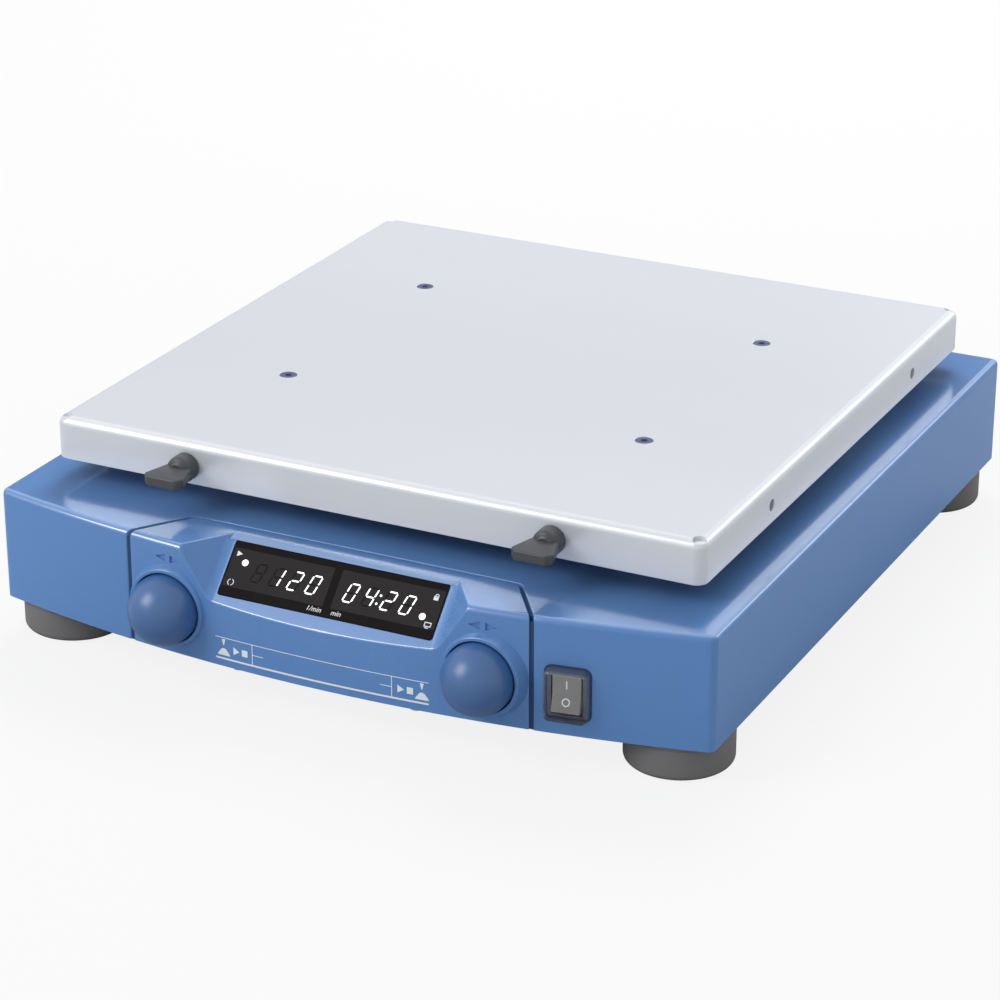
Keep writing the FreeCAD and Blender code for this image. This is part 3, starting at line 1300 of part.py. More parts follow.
def make_crank():
    """Model what turns with the crank: shaft, large pulley, pin and follower."""
    shaft = cylinder("crank_spindle", "crank_shaft_radius", "pulley_top - bearing_bottom - 1",
                     "0", "post_centre", "bearing_bottom")
    shoulder = cylinder("crank_shoulder", "crank_shaft_radius + 2", "pulley_lift - seat_gap",
                        "0", "post_centre", "hub_top + seat_gap")
    node(join("crank_shaft", [shaft, shoulder]), "crank_shaft")

    body = new_body("driven_pulley")
    revolve(body, pulley_profile(new_sketch(body, "XZ_Plane"), "pulley_radius", "pulley_web"))
    bores = circle(new_sketch(body), "crank_shaft_radius + running_gap / 2")
    circle(bores, "pin_radius + running_gap / 2", "0", "-crank_radius")
    pocket(body, bores, "pulley_height", backwards=True)
    window = circle(new_sketch(body), "pulley_window_radius",
                    "(pulley_hub_radius + pulley_radius - pulley_rim_wall) / 2", "0")
    cut = pocket(body, window, "pulley_height", backwards=True)
    pattern = body.newObject("PartDesign::PolarPattern", "PolarPattern")
    pattern.Originals = [cut]
    pattern.Axis = (window, ["N_Axis"])
    pattern.Angle = 360
    pattern.Occurrences = 6
    body.Tip = pattern
    node(place(body, "0", "post_centre", "pulley_bottom"), "driven_pulley")

    stem = cylinder("crank_pin_stem", "pin_radius",
                    "pulley_height + pin_shoulder + follower_height + 1", "0", "pin_y", "pulley_bottom")
    step = cylinder("crank_pin_step", "pin_shoulder_radius", "pin_shoulder", "0", "pin_y", "pulley_top")
    node(join("crank_pin", [stem, step]), "crank_pin")
    node(ring("crank_follower", "follower_radius", "pin_radius + running_gap", "follower_height",
              "0", "pin_y", "follower_bottom"), "crank_follower")


def make_motor():
    """Model the flat motor, its shaft and its pulley."""
    body = new_body("motor_housing")
    block = pad(body, circle(new_sketch(body), "motor_radius"), "motor_height")
    top = number("motor_height")
    dress(body, "Fillet", block, "motor_round", lambda middle, ends: abs(middle.z - top) < 1e-4)
    shaft_hole = circle(new_sketch(body), "motor_shaft_radius + running_gap")
    pocket(body, shaft_hole, "motor_height", backwards=True)
    hole = circle(new_sketch(body), "screw_radius + hole_gap", "motor_screw_radius", "0")
    drilled = pocket(body, hole, "mechanism_screw_depth + 1", backwards=True)
    screws = body.newObject("PartDesign::PolarPattern", "PolarPattern")
    screws.Originals = [drilled]
    screws.Axis = (hole, ["N_Axis"])
    screws.Angle = 360
    screws.Occurrences = 3
    body.Tip = screws
    doc.recompute()
    vent = new_sketch(body, offset="motor_height")
    slot(vent, "motor_vent_length / 2", "motor_vent_radius", "(motor_radius + motor_shaft_radius) / 2")
    opened = pocket(body, vent, "motor_vent_depth")
    vents = body.newObject("PartDesign::PolarPattern", "PolarPattern")
    vents.Originals = [opened]
    vents.Axis = (vent, ["N_Axis"])
    vents.Angle = 360
    vents.Occurrences = 12
    body.Tip = vents
    node(place(body, "-motor_distance", "post_centre", "floor"), "motor_housing")

    node(cylinder("motor_shaft", "motor_shaft_radius", "pulley_top - floor - 1",
                  "-motor_distance", "post_centre", "floor + 1"), "motor_shaft")
    pulley = new_body("motor_pulley")
    revolve(pulley, pulley_profile(new_sketch(pulley, "XZ_Plane"), "motor_pulley_radius"))
    bore = circle(new_sketch(pulley), "motor_shaft_radius + running_gap / 2")
    pocket(pulley, bore, "pulley_height", backwards=True)
    node(place(pulley, "-motor_distance", "post_centre", "pulley_bottom"), "motor_pulley")


def make_belt():
    """Model the flat drive belt, taut round both pulleys."""
    body = new_body("drive_belt")
    sketch = new_sketch(body)
    belt_loop(sketch, "motor_distance", "pulley_radius + belt_gap + belt_thickness",
              "motor_pulley_radius + belt_gap + belt_thickness")
    belt_loop(sketch, "motor_distance", "pulley_radius + belt_gap", "motor_pulley_radius + belt_gap")
    pad(body, sketch, "belt_width")
    node(place(body, "0", "post_centre", "belt_bottom"), "drive_belt")


def standoff_places():
    """Return the four standoffs under the main board as x and y."""
    places = []
    for x in ("main_board_left + standoff_inset", "main_board_left + main_board_width - standoff_inset"):
        for y in ("main_board_back - standoff_inset",
                  "main_board_back - main_board_depth + standoff_inset"):
            places.append((x, y))
    return places


def make_electronics():
    """Model the main board on its standoffs, the parts on it and the power supply."""
    board = new_body("main_board")
    sketch = new_sketch(board)
    rectangle(sketch, "main_board_left", "main_board_left + main_board_width",
              "main_board_back - main_board_depth", "main_board_back")
    for x, y in standoff_places():
        circle(sketch, "screw_radius + hole_gap", x, y)
    pad(board, sketch, "board_thickness")
    node(place(board, z="main_board_z"), "main_board")
    posts = [cylinder("standoff_%d" % index, "standoff_radius", "standoff_height", x, y, "floor")
             for index, (x, y) in enumerate(standoff_places())]
    node(group("board_standoffs", posts), "board_standoffs")
    top = "main_board_z + board_thickness"
    parts = [box("heat_sink", "sink_width", "sink_depth", "sink_height", "main_board_left + sink_x",
                 "main_board_back - main_board_depth / 2", top),
             box("driver_chip", "chip_size", "chip_size", "chip_height", "main_board_left + chip_x",
                 "main_board_back - main_board_depth / 2", top)]
    for index, width in enumerate(("plug_width", "2 * plug_width")):
        parts.append(box("plug_%d" % index, width, "plug_depth", "plug_height",
                         "main_board_left + plug_x + %d * plug_step" % index,
                         "main_board_back - main_board_depth + plug_depth", top))
    for index in range(3):
        parts.append(cylinder("capacitor_%d" % index, "capacitor_radius", "capacitor_height",
                              "main_board_left + capacitor_x + %d * 3 * capacitor_radius" % index,
                              "main_board_back - main_board_depth / 3", top))
    node(group("board_parts", parts), "board_parts")
    supply = new_body("power_supply")
    case = new_sketch(supply)
    rectangle(case, "-supply_left", "supply_width - supply_left",
              "housing_rear - supply_rear - supply_depth", "housing_rear - supply_rear")
    block = pad(supply, case, "supply_height")
    dress(supply, "Chamfer", block, "supply_wall",
          lambda middle, ends: abs(middle.z - number("supply_height")) < 1e-4)
    node(place(supply, z="floor"), "power_supply")


def make_inlet():
    """Model the mains inlet with its bevelled mouth and three blades."""
    body = new_body("mains_inlet")
    flange = new_sketch(body, "XZ_Plane")
    rounded_rectangle(flange, "inlet_flange_width", "inlet_flange_height", "bezel_corner")
    pad(body, flange, "inlet_flange", backwards=True)
    back = new_sketch(body, "XZ_Plane")
    centred_rectangle(back, "inlet_body_width", "inlet_body_height")
    pad(body, back, "inlet_depth")
    mouth = new_sketch(body, "XZ_Plane", "-inlet_flange")
    across, up, bevel = "inlet_mouth_width / 2", "inlet_mouth_height / 2", "inlet_bevel"
    outline(mouth, (("-" + across, "-" + up), (across, "-" + up), (across, "%s - %s" % (up, bevel)),
                    ("%s - %s" % (across, bevel), up), ("%s - %s" % (bevel, across), up),
                    ("-" + across, "%s - %s" % (up, bevel))))
    pocket(body, mouth, "inlet_mouth_depth", backwards=True)
    node(place(body, "-inlet_across", "housing_rear", "inlet_z"), "mains_inlet")
    rim = "housing_rear + inlet_flange"
    blades = []
    for name, x, z in (("live", "-blade_spacing", "-blade_drop"), ("neutral", "blade_spacing", "-blade_drop"),
                       ("earth", "0", "blade_drop")):
        blades.append(box("inlet_blade_" + name, "blade_width",
                          "inlet_mouth_depth - blade_set_back", "blade_height", "%s - inlet_across" % x,
                          "%s - (inlet_mouth_depth + blade_set_back) / 2" % rim,
                          "inlet_z + %s - blade_height / 2" % z))
    node(group("inlet_blades", blades), "inlet_blades")


def make_port():
    """Model the serial port: flange inside the wall, D-shaped shell through it."""
    body = new_body("serial_port")
    flange = new_sketch(body, "XZ_Plane", "housing_wall")
    rounded_rectangle(flange, "port_flange_width", "port_flange_height", "port_corner")
    pad(body, flange, "port_flange")
    back = new_sketch(body, "XZ_Plane", "housing_wall + port_flange")
    centred_rectangle(back, "port_shell_width", "port_shell_height")
    pad(body, back, "port_depth")
    rim = new_sketch(body, "XZ_Plane", "housing_wall")
    low, high, up = "port_shell_width / 2 - port_slant", "port_shell_width / 2", "port_shell_height / 2"
    outline(rim, (("-(%s)" % low, "-" + up), (low, "-" + up), (high, up), ("-(%s)" % high, up)))
    pad(body, rim, "housing_wall + inlet_flange - seat_gap", backwards=True)
    mouth = new_sketch(body, "XZ_Plane", "-inlet_flange")
    shell = "port_shell"
    outline(mouth, (("-(%s - %s)" % (low, shell), "%s - %s" % (shell, up)),
                    ("%s - %s" % (low, shell), "%s - %s" % (shell, up)),
                    ("%s - %s" % (high, shell), "%s - %s" % (up, shell)),
                    ("-(%s - %s)" % (high, shell), "%s - %s" % (up, shell))))
    pocket(body, mouth, "port_mouth_depth", backwards=True)
    node(place(body, "port_across", "housing_rear", "port_z"), "serial_port")


def make_carriage():
    """Model the carriage plate, the blocks and bushings under it and the posts on it."""
    body = new_body("carriage_plate")
    plan = rounded_rectangle(new_sketch(body), "post_spacing_x + 2 * carriage_margin",
                             "post_spacing_y + 2 * carriage_margin", "carriage_corner")
    pad(body, plan, "carriage_thickness")
    holes = new_sketch(body)
    for name, x, y in post_places():
        for turn in ("-", ""):
            circle(holes, "screw_radius + hole_gap", x, "%s - post_centre + (%spost_screw_offset)"
                   % (y, turn))
    for x, y in yoke_screw_places():
        circle(holes, "screw_radius + hole_gap", x, "%s - post_centre" % y)
    pocket(body, holes, "carriage_thickness", backwards=True)
    windows = new_sketch(body)
    for sign in ("-", ""):
        for row in ("-1", "0", "1"):
            circle(windows, "carriage_window_radius", "%scarriage_window_x" % sign,
                   "(%s) * carriage_window_y" % row)
    pocket(body, windows, "carriage_thickness", backwards=True)
    node(place(body, "0", "post_centre", "block_top"), "carriage_plate")

    blocks, bushings, posts, screws = [], [], [], []
    for name, x, y in post_places():
        block = new_body("bushing_block_" + name)
        sketch = new_sketch(block, "YZ_Plane")
        centred_rectangle(sketch, "block_width", "block_height")
        circle(sketch, "bushing_radius + running_gap")
        solid = pad(block, sketch, "block_width", middle=True)
        dress(block, "Chamfer", solid, "block_chamfer",
              lambda middle, ends: len(ends) == 2 and abs(ends[0].y - ends[1].y) < 1e-4
              and abs(ends[0].z - ends[1].z) < 1e-4 and middle.z < -1)
        drill = new_sketch(block, offset="block_height / 2")
        for turn in ("-", ""):
            circle(drill, "screw_radius + hole_gap", "0", "%spost_screw_offset" % turn)
        pocket(block, drill, "carriage_screw_length - carriage_thickness - post_flange + 1")
        blocks.append(place(block, x, y, "rod_z"))
        bushings.append(ring("ball_bushing_" + name, "bushing_radius", "rod_radius + running_gap",
                             "bushing_run", "%s - bushing_run / 2" % x, y, "rod_z", "x"))
        column = cylinder("post_column_" + name, "post_radius", "tray_under - carriage_top",
                          x, y, "carriage_top")
        flange = cylinder("post_flange_" + name, "post_flange_radius", "post_flange", x, y, "carriage_top")
        tools = [cylinder("post_thread_" + name, "tray_screw_radius + hole_gap", "tray_screw_length + 1",
                          x, y, "tray_under - tray_screw_length - 1")]
        for index, turn in enumerate(("-", "")):
            screw_y = "%s + (%spost_screw_offset)" % (y, turn)
            tools.append(cylinder("post_hole_%s_%d" % (name, index), "screw_radius + hole_gap",
                                  "post_flange", x, screw_y, "carriage_top"))
            screws.append(screw("carriage_screw_%s_%d" % (name, index), x, screw_y,
                                "carriage_top + post_flange", "carriage_screw_length"))
        posts.append(subtract("tray_post_" + name, join("post_solid_" + name, [column, flange]), tools))
    for index, (x, y) in enumerate(yoke_screw_places()):
        screws.append(screw("yoke_screw_%d" % index, x, y, "carriage_top", "yoke_screw_length"))
    node(group("bushing_blocks", blocks), "bushing_blocks")
    node(group("ball_bushings", bushings), "ball_bushings")
    node(group("tray_posts", posts), "tray_posts")
    node(group("carriage_screws", screws), "carriage_screws")


def yoke_screw_places():
    """Return the four yoke screws as x and y."""
    half_x = "(follower_radius + yoke_side_gap + yoke_wall / 2)"
    half_y = "(crank_radius / 2 + follower_radius + yoke_end_gap + yoke_wall / 2)"
    return [("%s%s" % (sx, half_x), "yoke_y + (%s%s)" % (sy, half_y)) for sx in ("-", "") for sy in ("-", "")]


def make_yoke():
    """Model the slotted yoke that the crank follower pushes from side to side."""
    body = new_body("yoke")
    slot_x = "2 * (follower_radius + yoke_side_gap)"
    slot_y = "crank_radius + 2 * (follower_radius + yoke_end_gap)"
    plan = rounded_rectangle(new_sketch(body), slot_x + " + 2 * yoke_wall", slot_y + " + 2 * yoke_wall",
                             "yoke_wall / 2")
    pad(body, plan, "yoke_height")
    opening = rounded_rectangle(new_sketch(body), slot_x, slot_y, "yoke_slot_corner")
    pocket(body, opening, "yoke_height", backwards=True)
    holes = new_sketch(body, offset="yoke_height")
    for x, y in yoke_screw_places():
        circle(holes, "screw_radius + hole_gap", x, "%s - yoke_y" % y)
    pocket(body, holes, "yoke_screw_length - carriage_thickness + 1")
    node(place(body, "0", "yoke_y", "block_top - yoke_height"), "yoke")


def make_tray():
    """Model the tray: a sheet-metal pan upside down, with countersunk and flange holes."""
    body = new_body("tray_pan")
    plan = rounded_rectangle(new_sketch(body), "tray_width", "tray_depth", "tray_corner")
    block = pad(body, plan, "tray_flange")
    top = number("tray_flange")
    dress(body, "Fillet", block, "tray_bend", lambda middle, ends: abs(middle.z - top) < 1e-4)
    inner = rounded_rectangle(new_sketch(body), "tray_width - 2 * tray_sheet",
                              "tray_depth - 2 * tray_sheet", "tray_corner - tray_sheet")
    hollow = pocket(body, inner, "tray_flange - tray_sheet", backwards=True)
    under = top - number("tray_sheet")
    dress(body, "Fillet", hollow, "tray_bend - tray_sheet", lambda middle, ends: abs(middle.z - under) < 1e-4)
    side_holes = new_sketch(body, "YZ_Plane")
    for sign in ("-", ""):
        circle(side_holes, "flange_hole_radius", "flange_hole_centre + (%sflange_hole_spacing / 2)" % sign,
               "tray_flange - flange_hole_drop")
    pocket(body, side_holes, "2 * tray_width", middle=True)
    front_holes = new_sketch(body, "XZ_Plane")
    for sign in ("-", ""):
        circle(front_holes, "flange_hole_radius", "%sthumb_spacing / 2" % sign,
               "tray_flange - flange_hole_drop")
    pocket(body, front_holes, "tray_depth", backwards=True)
    place(body, "0", "tray_centre", "tray_top - tray_flange")
    sinks = [cone("tray_sink_" + name, "tray_screw_radius + hole_gap", "tray_screw_head_radius + hole_gap",
                  "tray_sheet", x, y, "tray_under") for name, x, y in post_places()]
    node(subtract("tray", body, sinks), "tray")
    screws = []
    for name, x, y in post_places():
        head = cone("tray_screw_head_" + name, "tray_screw_radius", "tray_screw_head_radius",
                    "tray_sheet", x, y, "tray_under")
        shank = cylinder("tray_screw_shank_" + name, "tray_screw_radius", "tray_screw_length",
                         x, y, "tray_under - tray_screw_length")
        screws.append(join("tray_screw_" + name, [head, shank]))
    node(group("tray_screws", screws), "tray_screws")


def make_inserts():
    """Model the threaded inserts behind the flange holes."""
    inserts = []
    for side, sign in sides():
        for end, step in (("front", "-"), ("rear", "")):
            y = "side_hole_y + (%sflange_hole_spacing / 2)" % step
            inside = "tray_width / 2 - tray_sheet"
            start = "-(%s)" % inside if sign else "%s - insert_length" % inside
            inserts.append(ring("side_insert_%s_%s" % (side, end), "insert_radius", "flange_hole_radius",
                                "insert_length", start, y, "flange_hole_z", "x"))
        inserts.append(ring("front_insert_" + side, "insert_radius", "flange_hole_radius", "insert_length",
                            "%sthumb_spacing / 2" % sign, "tray_front + tray_sheet", "flange_hole_z", "y"))
    node(group("flange_inserts", inserts), "flange_inserts")


def make_thumb_screw(side, sign):
    """Model one thumb screw: round hub, flat flared blade and steel stud."""
    x = "%sthumb_spacing / 2" % sign
    hub = new_body("thumb_hub_" + side)
    sketch = new_sketch(hub)
    outline(sketch, (("0", "0"), ("0", "-thumb_hub_length"), ("thumb_neck_radius", "-thumb_hub_length"),
                     ("thumb_hub_radius", "-thumb_hub_length / 2"), ("thumb_hub_radius", "0")))
    revolve(hub, sketch)
    place(hub, x, "tray_front - seat_gap", "flange_hole_z")
    blade = new_body("thumb_blade_" + side)
    sketch = new_sketch(blade)
    wide, front = "thumb_blade_width / 2", "-thumb_length"
    outline(sketch, (("-thumb_neck_radius", "-thumb_hub_length / 2"),
                     ("-(%s)" % wide, "thumb_blade_chamfer - thumb_length"),
                     ("thumb_blade_chamfer - %s" % wide, front), ("%s - thumb_blade_chamfer" % wide, front),
                     (wide, "thumb_blade_chamfer - thumb_length"),
                     ("thumb_neck_radius", "-thumb_hub_length / 2")))
    pad(blade, sketch, "thumb_blade", middle=True)
    place(blade, x, "tray_front - seat_gap", "flange_hole_z")
    bore = cylinder("thumb_bore_" + side, "flange_hole_radius", "stud_sunk",
                    x, "tray_front - seat_gap", "flange_hole_z", "-y")
    grip = join("thumb_grip_" + side, [hub, blade])
    node(subtract("thumb_screw_" + side, grip, [bore]), "thumb_screw_" + side)
    stud = cylinder("thumb_stud_" + side, "flange_hole_radius - running_gap", "stud_length",
                    x, "tray_front - seat_gap - stud_sunk", "flange_hole_z", "y")
    node(stud, "thumb_stud_" + side)


def check_and_write():
    """Stop on any failed object, then write each sub-part to its own file."""
    doc.recompute()
    for item in doc.Objects:
        if "Invalid" in item.State or "Error" in item.State:
            raise ValueError("%s failed: %s" % (item.Label, item.State))
    os.makedirs("parts", exist_ok=True)
    for item in NODES:
        if item.Shape.isNull() or not item.Shape.isValid():
            raise ValueError("%s has no valid shape" % item.Label)
        item.Shape.exportStep("parts/%s.step" % item.Label)


def main():
    """Build every sub-part and write it out."""
    fill_sheet()
    make_housing()
    make_base_plate()
    make_feet()
    make_housing_screws()
    make_mechanism_screws()
    make_front_panel()
    make_display()
    make_panel_screws()
    for name, sign in (("speed", "-"), ("timer", "")):
        make_knob_parts(name, sign)
    make_knob_boards()
    make_switch()
    make_guides()
    make_bearing_block()
    make_crank()
    make_motor()
    make_belt()
    make_electronics()
    make_inlet()
    make_port()
    make_carriage()
    make_yoke()
    make_tray()
    make_inserts()
    for side, sign in sides():
        make_thumb_screw(side, sign)
    check_and_write()


main()
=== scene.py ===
"""Dresses the linear shaker for its picture.

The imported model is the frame. The classes below build the pieces that show, in millimetres in the
model's own frame (X right, Y back, Z up), and every surface gets a finish made of shader nodes.
"""

import json
import logging
import math
from dataclasses import dataclass
from enum import Enum
from typing import Any, Callable, Iterable, Sequence

import bmesh
import bpy
from mathutils import Matrix, Vector


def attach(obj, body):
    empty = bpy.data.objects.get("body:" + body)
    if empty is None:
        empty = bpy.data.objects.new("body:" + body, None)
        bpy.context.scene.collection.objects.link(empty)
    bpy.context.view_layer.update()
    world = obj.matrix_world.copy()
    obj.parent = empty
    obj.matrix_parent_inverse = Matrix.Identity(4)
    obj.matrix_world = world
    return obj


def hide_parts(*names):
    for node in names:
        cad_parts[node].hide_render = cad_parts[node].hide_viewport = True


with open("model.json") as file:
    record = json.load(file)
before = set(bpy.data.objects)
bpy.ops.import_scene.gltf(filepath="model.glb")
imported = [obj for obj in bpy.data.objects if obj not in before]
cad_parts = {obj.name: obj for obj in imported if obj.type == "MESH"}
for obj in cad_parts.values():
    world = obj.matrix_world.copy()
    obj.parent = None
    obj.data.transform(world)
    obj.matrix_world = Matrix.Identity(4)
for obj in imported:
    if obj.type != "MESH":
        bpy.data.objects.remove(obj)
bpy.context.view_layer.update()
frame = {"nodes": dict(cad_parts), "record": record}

LOG = logging.getLogger("shaker")
MM = 0.001
SMOOTH_ANGLE = math.radians(32)
SIDES = (-1, 1)

# Distances under which points are made one: on a turned form, and after a Boolean
MERGE, WELD = 1e-4, 2e-3

# The bowed front in plan: a circle about a point on the middle line, cut into chords
BOW_RADIUS = 747.3636
BOW_CENTRE = 559.6636
BOW_CHORD = 5.0

# The housing's lower edge, its roof and the height half way up, and how far forward the bow reaches
LOWER_EDGE, ROOF, HALFWAY = 17.1, 71.4, 44
FRONT = -187.7

# The four tray posts with the screws over them, and the round holes in the tray's flanges
POSTS = [(x, y) for x in (-93.2, 93.2) for y in (-47.8, 93.0)]
HOLE_RADIUS, HOLE_HEIGHT, THUMB_SCREW_X = 2.75, 90.4, 92.4

Point = tuple[float, float]
Triple = tuple[float, float, float]


class Body(Enum):
    """The bodies of the frame that new pieces ride on."""

    BASE = "base"
    CARRIAGE = "carriage"
    SPEED_KNOB = "speed_knob"
    TIMER_KNOB = "timer_knob"
    ROCKER = "rocker"
    THUMB_LEFT = "thumb_left"
    THUMB_RIGHT = "thumb_right"


def bow(x: float, inset: float = 0.0) -> float:
    """Find the Y of the bowed front, drawn in by an inset, at a distance across."""
    return BOW_CENTRE - math.sqrt((BOW_RADIUS - inset) ** 2 - x * x)


def facing(origin: Sequence[float], across: Sequence[float], up: Sequence[float]) -> Matrix:
    """Make the matrix of a face's own frame: x across it, y up it, z out of it.

    Args:
        origin: where the frame's origin lies.
        across: direction of x.
        up: direction of y.

    Returns:
        The matrix from the face's frame to the model's.
    """
    x, y = Vector(across).normalized(), Vector(up).normalized()
    turn = Matrix((x, y, x.cross(y))).transposed()
    return Matrix.Translation(origin) @ turn.to_4x4()


def ahead(x: float, y: float, z: float) -> Matrix:
    """Make the frame of a piece whose z axis points to the user."""
    return facing((x, y, z), (1, 0, 0), (0, 0, 1))


def on_face(x: float, height: float) -> Matrix:
    """Make the frame of a spot on the bowed front: x along the bow, y up, z out of it."""
    turn = math.asin(x / BOW_RADIUS)
    return facing((x, bow(x), height), (math.cos(turn), math.sin(turn), 0), (0, 0, 1))


def arc(centre: Point, radius: float, start: float, end: float, steps: int) -> list[Point]:
    """Divide an arc into chords, from one angle in degrees to another, both ends included."""
    angles = [math.radians(start + (end - start) * i / steps) for i in range(steps + 1)]
    return [(centre[0] + radius * math.cos(a), centre[1] + radius * math.sin(a)) for a in angles]


def rectangle(width: float, height: float, x: float = 0.0, y: float = 0.0) -> list[Point]:
    """Give the corners of a rectangle about its middle, counter-clockwise."""
    a, b = width / 2, height / 2
    return [(x - a, y - b), (x + a, y - b), (x + a, y + b), (x - a, y + b)]


def tapered(half: float, front: float, rear_half: float, rear: float) -> list[Point]:
    """Give the corners of a plan that may narrow to the rear, counter-clockwise."""
    return [(-half, front), (half, front), (rear_half, rear), (-rear_half, rear)]


def in_scene(name: str, data: bpy.types.ID) -> bpy.types.Object:
    """Make an object of its mesh, curve, light or camera and put it in the scene."""
    item = bpy.data.objects.new(name, data)
    bpy.context.scene.collection.objects.link(item)
    return item


class Form:
    """A mesh in the making, in millimetres. Each step changes it and hands it back."""

    def __init__(self) -> None:
        """Start with nothing."""
        self.bm = bmesh.new()

    def _plate(self, corners: Sequence[Point], level: float, corner: float, steps: int) -> None:
        """Add a flat face at a level.

        Args:
            corners: its outline, counter-clockwise.
            level: its height.
            corner: radius of its corners.
            steps: chords in each corner.
        """
        verts = [self.bm.verts.new((x, y, level)) for x, y in corners]
        self.bm.faces.new(verts)
        if corner:
            bmesh.ops.bevel(self.bm, geom=verts, offset=corner, offset_type="OFFSET", segments=steps,
                            profile=0.5, affect="VERTICES", material=-1)

    def _raised(self, height: float) -> "Form":
        """Extrude the form's face upwards, to a height, and turn every face outwards."""
        grown = bmesh.ops.extrude_face_region(self.bm, geom=self.bm.faces[:])
        top = [item for item in grown["geom"] if isinstance(item, bmesh.types.BMVert)]
        bmesh.ops.translate(self.bm, verts=top, vec=(0, 0, height))
        return self.outwards()

    def outwards(self) -> "Form":
        """Turn every face outwards."""
        bmesh.ops.recalc_face_normals(self.bm, faces=self.bm.faces)
        return self

    @classmethod
    def prism(cls, corners: Sequence[Point], low: float, high: float, corner: float = 0.0,
              steps: int = 6, bowed: float | None = None) -> "Form":
        """Extrude an outline upwards.

        Args:
            corners: the outline, counter-clockwise.
            low: its lower level.
            high: its upper level.
            corner: radius of its upright corners.
            steps: chords in each corner.
            bowed: where given, the front edge follows the bow, drawn in by this much.

        Returns:
            The new form.
        """
        form = cls()
        form._plate(corners, low, corner, steps)
        if bowed is not None:
            front = min(form.bm.edges, key=lambda e: sum(v.co.y for v in e.verts))
            cuts = max(1, round(front.calc_length() / BOW_CHORD))
            bmesh.ops.subdivide_edges(form.bm, edges=[front], cuts=cuts)
            limit = min(v.co.y for v in form.bm.verts) + 1e-3
            for vert in form.bm.verts:
                if vert.co.y < limit:
                    vert.co.y = bow(vert.co.x, bowed)
        return form._raised(high - low)

    @classmethod
    def block(cls, width: float, height: float, low: float, high: float, x: float = 0.0,
              y: float = 0.0, corner: float = 0.0, steps: int = 6) -> "Form":
        """Extrude a rectangle about its middle, with rounded upright corners."""
        return cls.prism(rectangle(width, height, x, y), low, high, corner, steps)

    @classmethod
    def lathe(cls, profile: Sequence[Point], steps: int) -> "Form":
        """Turn a profile about the z axis.

        Args:
            profile: its points as distance from the axis and height. It runs from axis to axis,
                or is closed.
            steps: how many facets go round.

        Returns:
            The new form.
        """
        form = cls()
        verts = [form.bm.verts.new((r, 0, z)) for r, z in profile]
        pairs = list(zip(verts, verts[1:]))
        if profile[0][0] > 0:
            pairs.append((verts[-1], verts[0]))
        edges = [form.bm.edges.new(pair) for pair in pairs]
        bmesh.ops.spin(form.bm, geom=verts + edges, cent=(0, 0, 0), axis=(0, 0, 1),
                       angle=math.tau, steps=steps, use_merge=True)
        return form._welded(MERGE).outwards()

    @classmethod
    def rod(cls, radius: float, low: float, high: float, x: float = 0.0, y: float = 0.0,
            steps: int = 32) -> "Form":
        """Make a plain round bar or cutter along z, between two levels."""
        form = cls()
        bmesh.ops.create_circle(form.bm, cap_ends=True, segments=steps, radius=radius,
                                matrix=Matrix.Translation((x, y, low)))
        return form._raised(high - low)

    @classmethod
    def funnel(cls, sections: Iterable[tuple[float, float, float, float, float]],
               steps: int = 6) -> "Form":
        """Join two rounded rectangles at different levels.

        Args:
            sections: width, height, middle along y, corner radius and level of each.
            steps: chords in each corner.

        Returns:
            The new form.
        """
        form = cls()
        for width, height, middle, corner, level in sections:
            form._plate(rectangle(width, height, 0.0, middle), level, corner, steps)
        bmesh.ops.bridge_loops(form.bm, edges=[e for e in form.bm.edges if e.is_boundary])
        return form.outwards()

    def placed(self, matrix: Matrix) -> "Form":
        """Move the form by a matrix."""
        bmesh.ops.transform(self.bm, matrix=matrix, verts=self.bm.verts)
        return self

    def moved(self, x: float = 0.0, y: float = 0.0, z: float = 0.0) -> "Form":
        """Shift the form."""
        return self.placed(Matrix.Translation((x, y, z)))

    def slanted(self, share: float) -> "Form":
        """Lean the form: x grows with y by a share."""
        for vert in self.bm.verts:
            vert.co.x += vert.co.y * share
        return self

    def soften(self, width: float, segments: int = 3,
               where: Callable[[Vector], bool] = lambda middle: True, over: float = 25.0) -> "Form":
        """Round the outer edges.

        Args:
            width: how far the rounding reaches from an edge.
            segments: its facets.
            where: says of an edge's middle whether that edge is rounded.
            over: only edges that turn by more than this angle, in degrees.

        Returns:
            This form.
        """
        limit = math.radians(over)
        edges = [e for e in self.bm.edges if e.is_manifold and e.calc_face_angle_signed() > limit
                 and where((e.verts[0].co + e.verts[1].co) / 2)]
        bmesh.ops.bevel(self.bm, geom=edges, offset=width, offset_type="OFFSET", segments=segments,
                        profile=0.5, affect="EDGES", material=-1)
        return self

    def sliced(self, step: float) -> "Form":
        """Cut the form across x, so that it can follow a curve.

        Args:
            step: distance between the cuts.

        Returns:
            This form.
        """
        places = [v.co.x for v in self.bm.verts]
        low, high = min(places), max(places)
        for index in range(1, max(1, math.ceil((high - low) / step))):
            parts = self.bm.verts[:] + self.bm.edges[:] + self.bm.faces[:]
            bmesh.ops.bisect_plane(self.bm, geom=parts, dist=1e-5,
                                   plane_co=(low + index * step, 0, 0), plane_no=(1, 0, 0))
        return self

    def on_bow(self) -> "Form":
        """Lay a flat form on the bowed front: its y is the height, its z stands off the face."""
        for vert in self.bm.verts:
            x, height, off = vert.co
            vert.co = Vector((x, bow(x, -off), height))
        return self.outwards()

    def _welded(self, distance: float) -> "Form":
        """Make points that lie within a distance one."""
        bmesh.ops.remove_doubles(self.bm, verts=self.bm.verts, dist=distance)
        bmesh.ops.dissolve_degenerate(self.bm, edges=self.bm.edges, dist=distance)
        return self

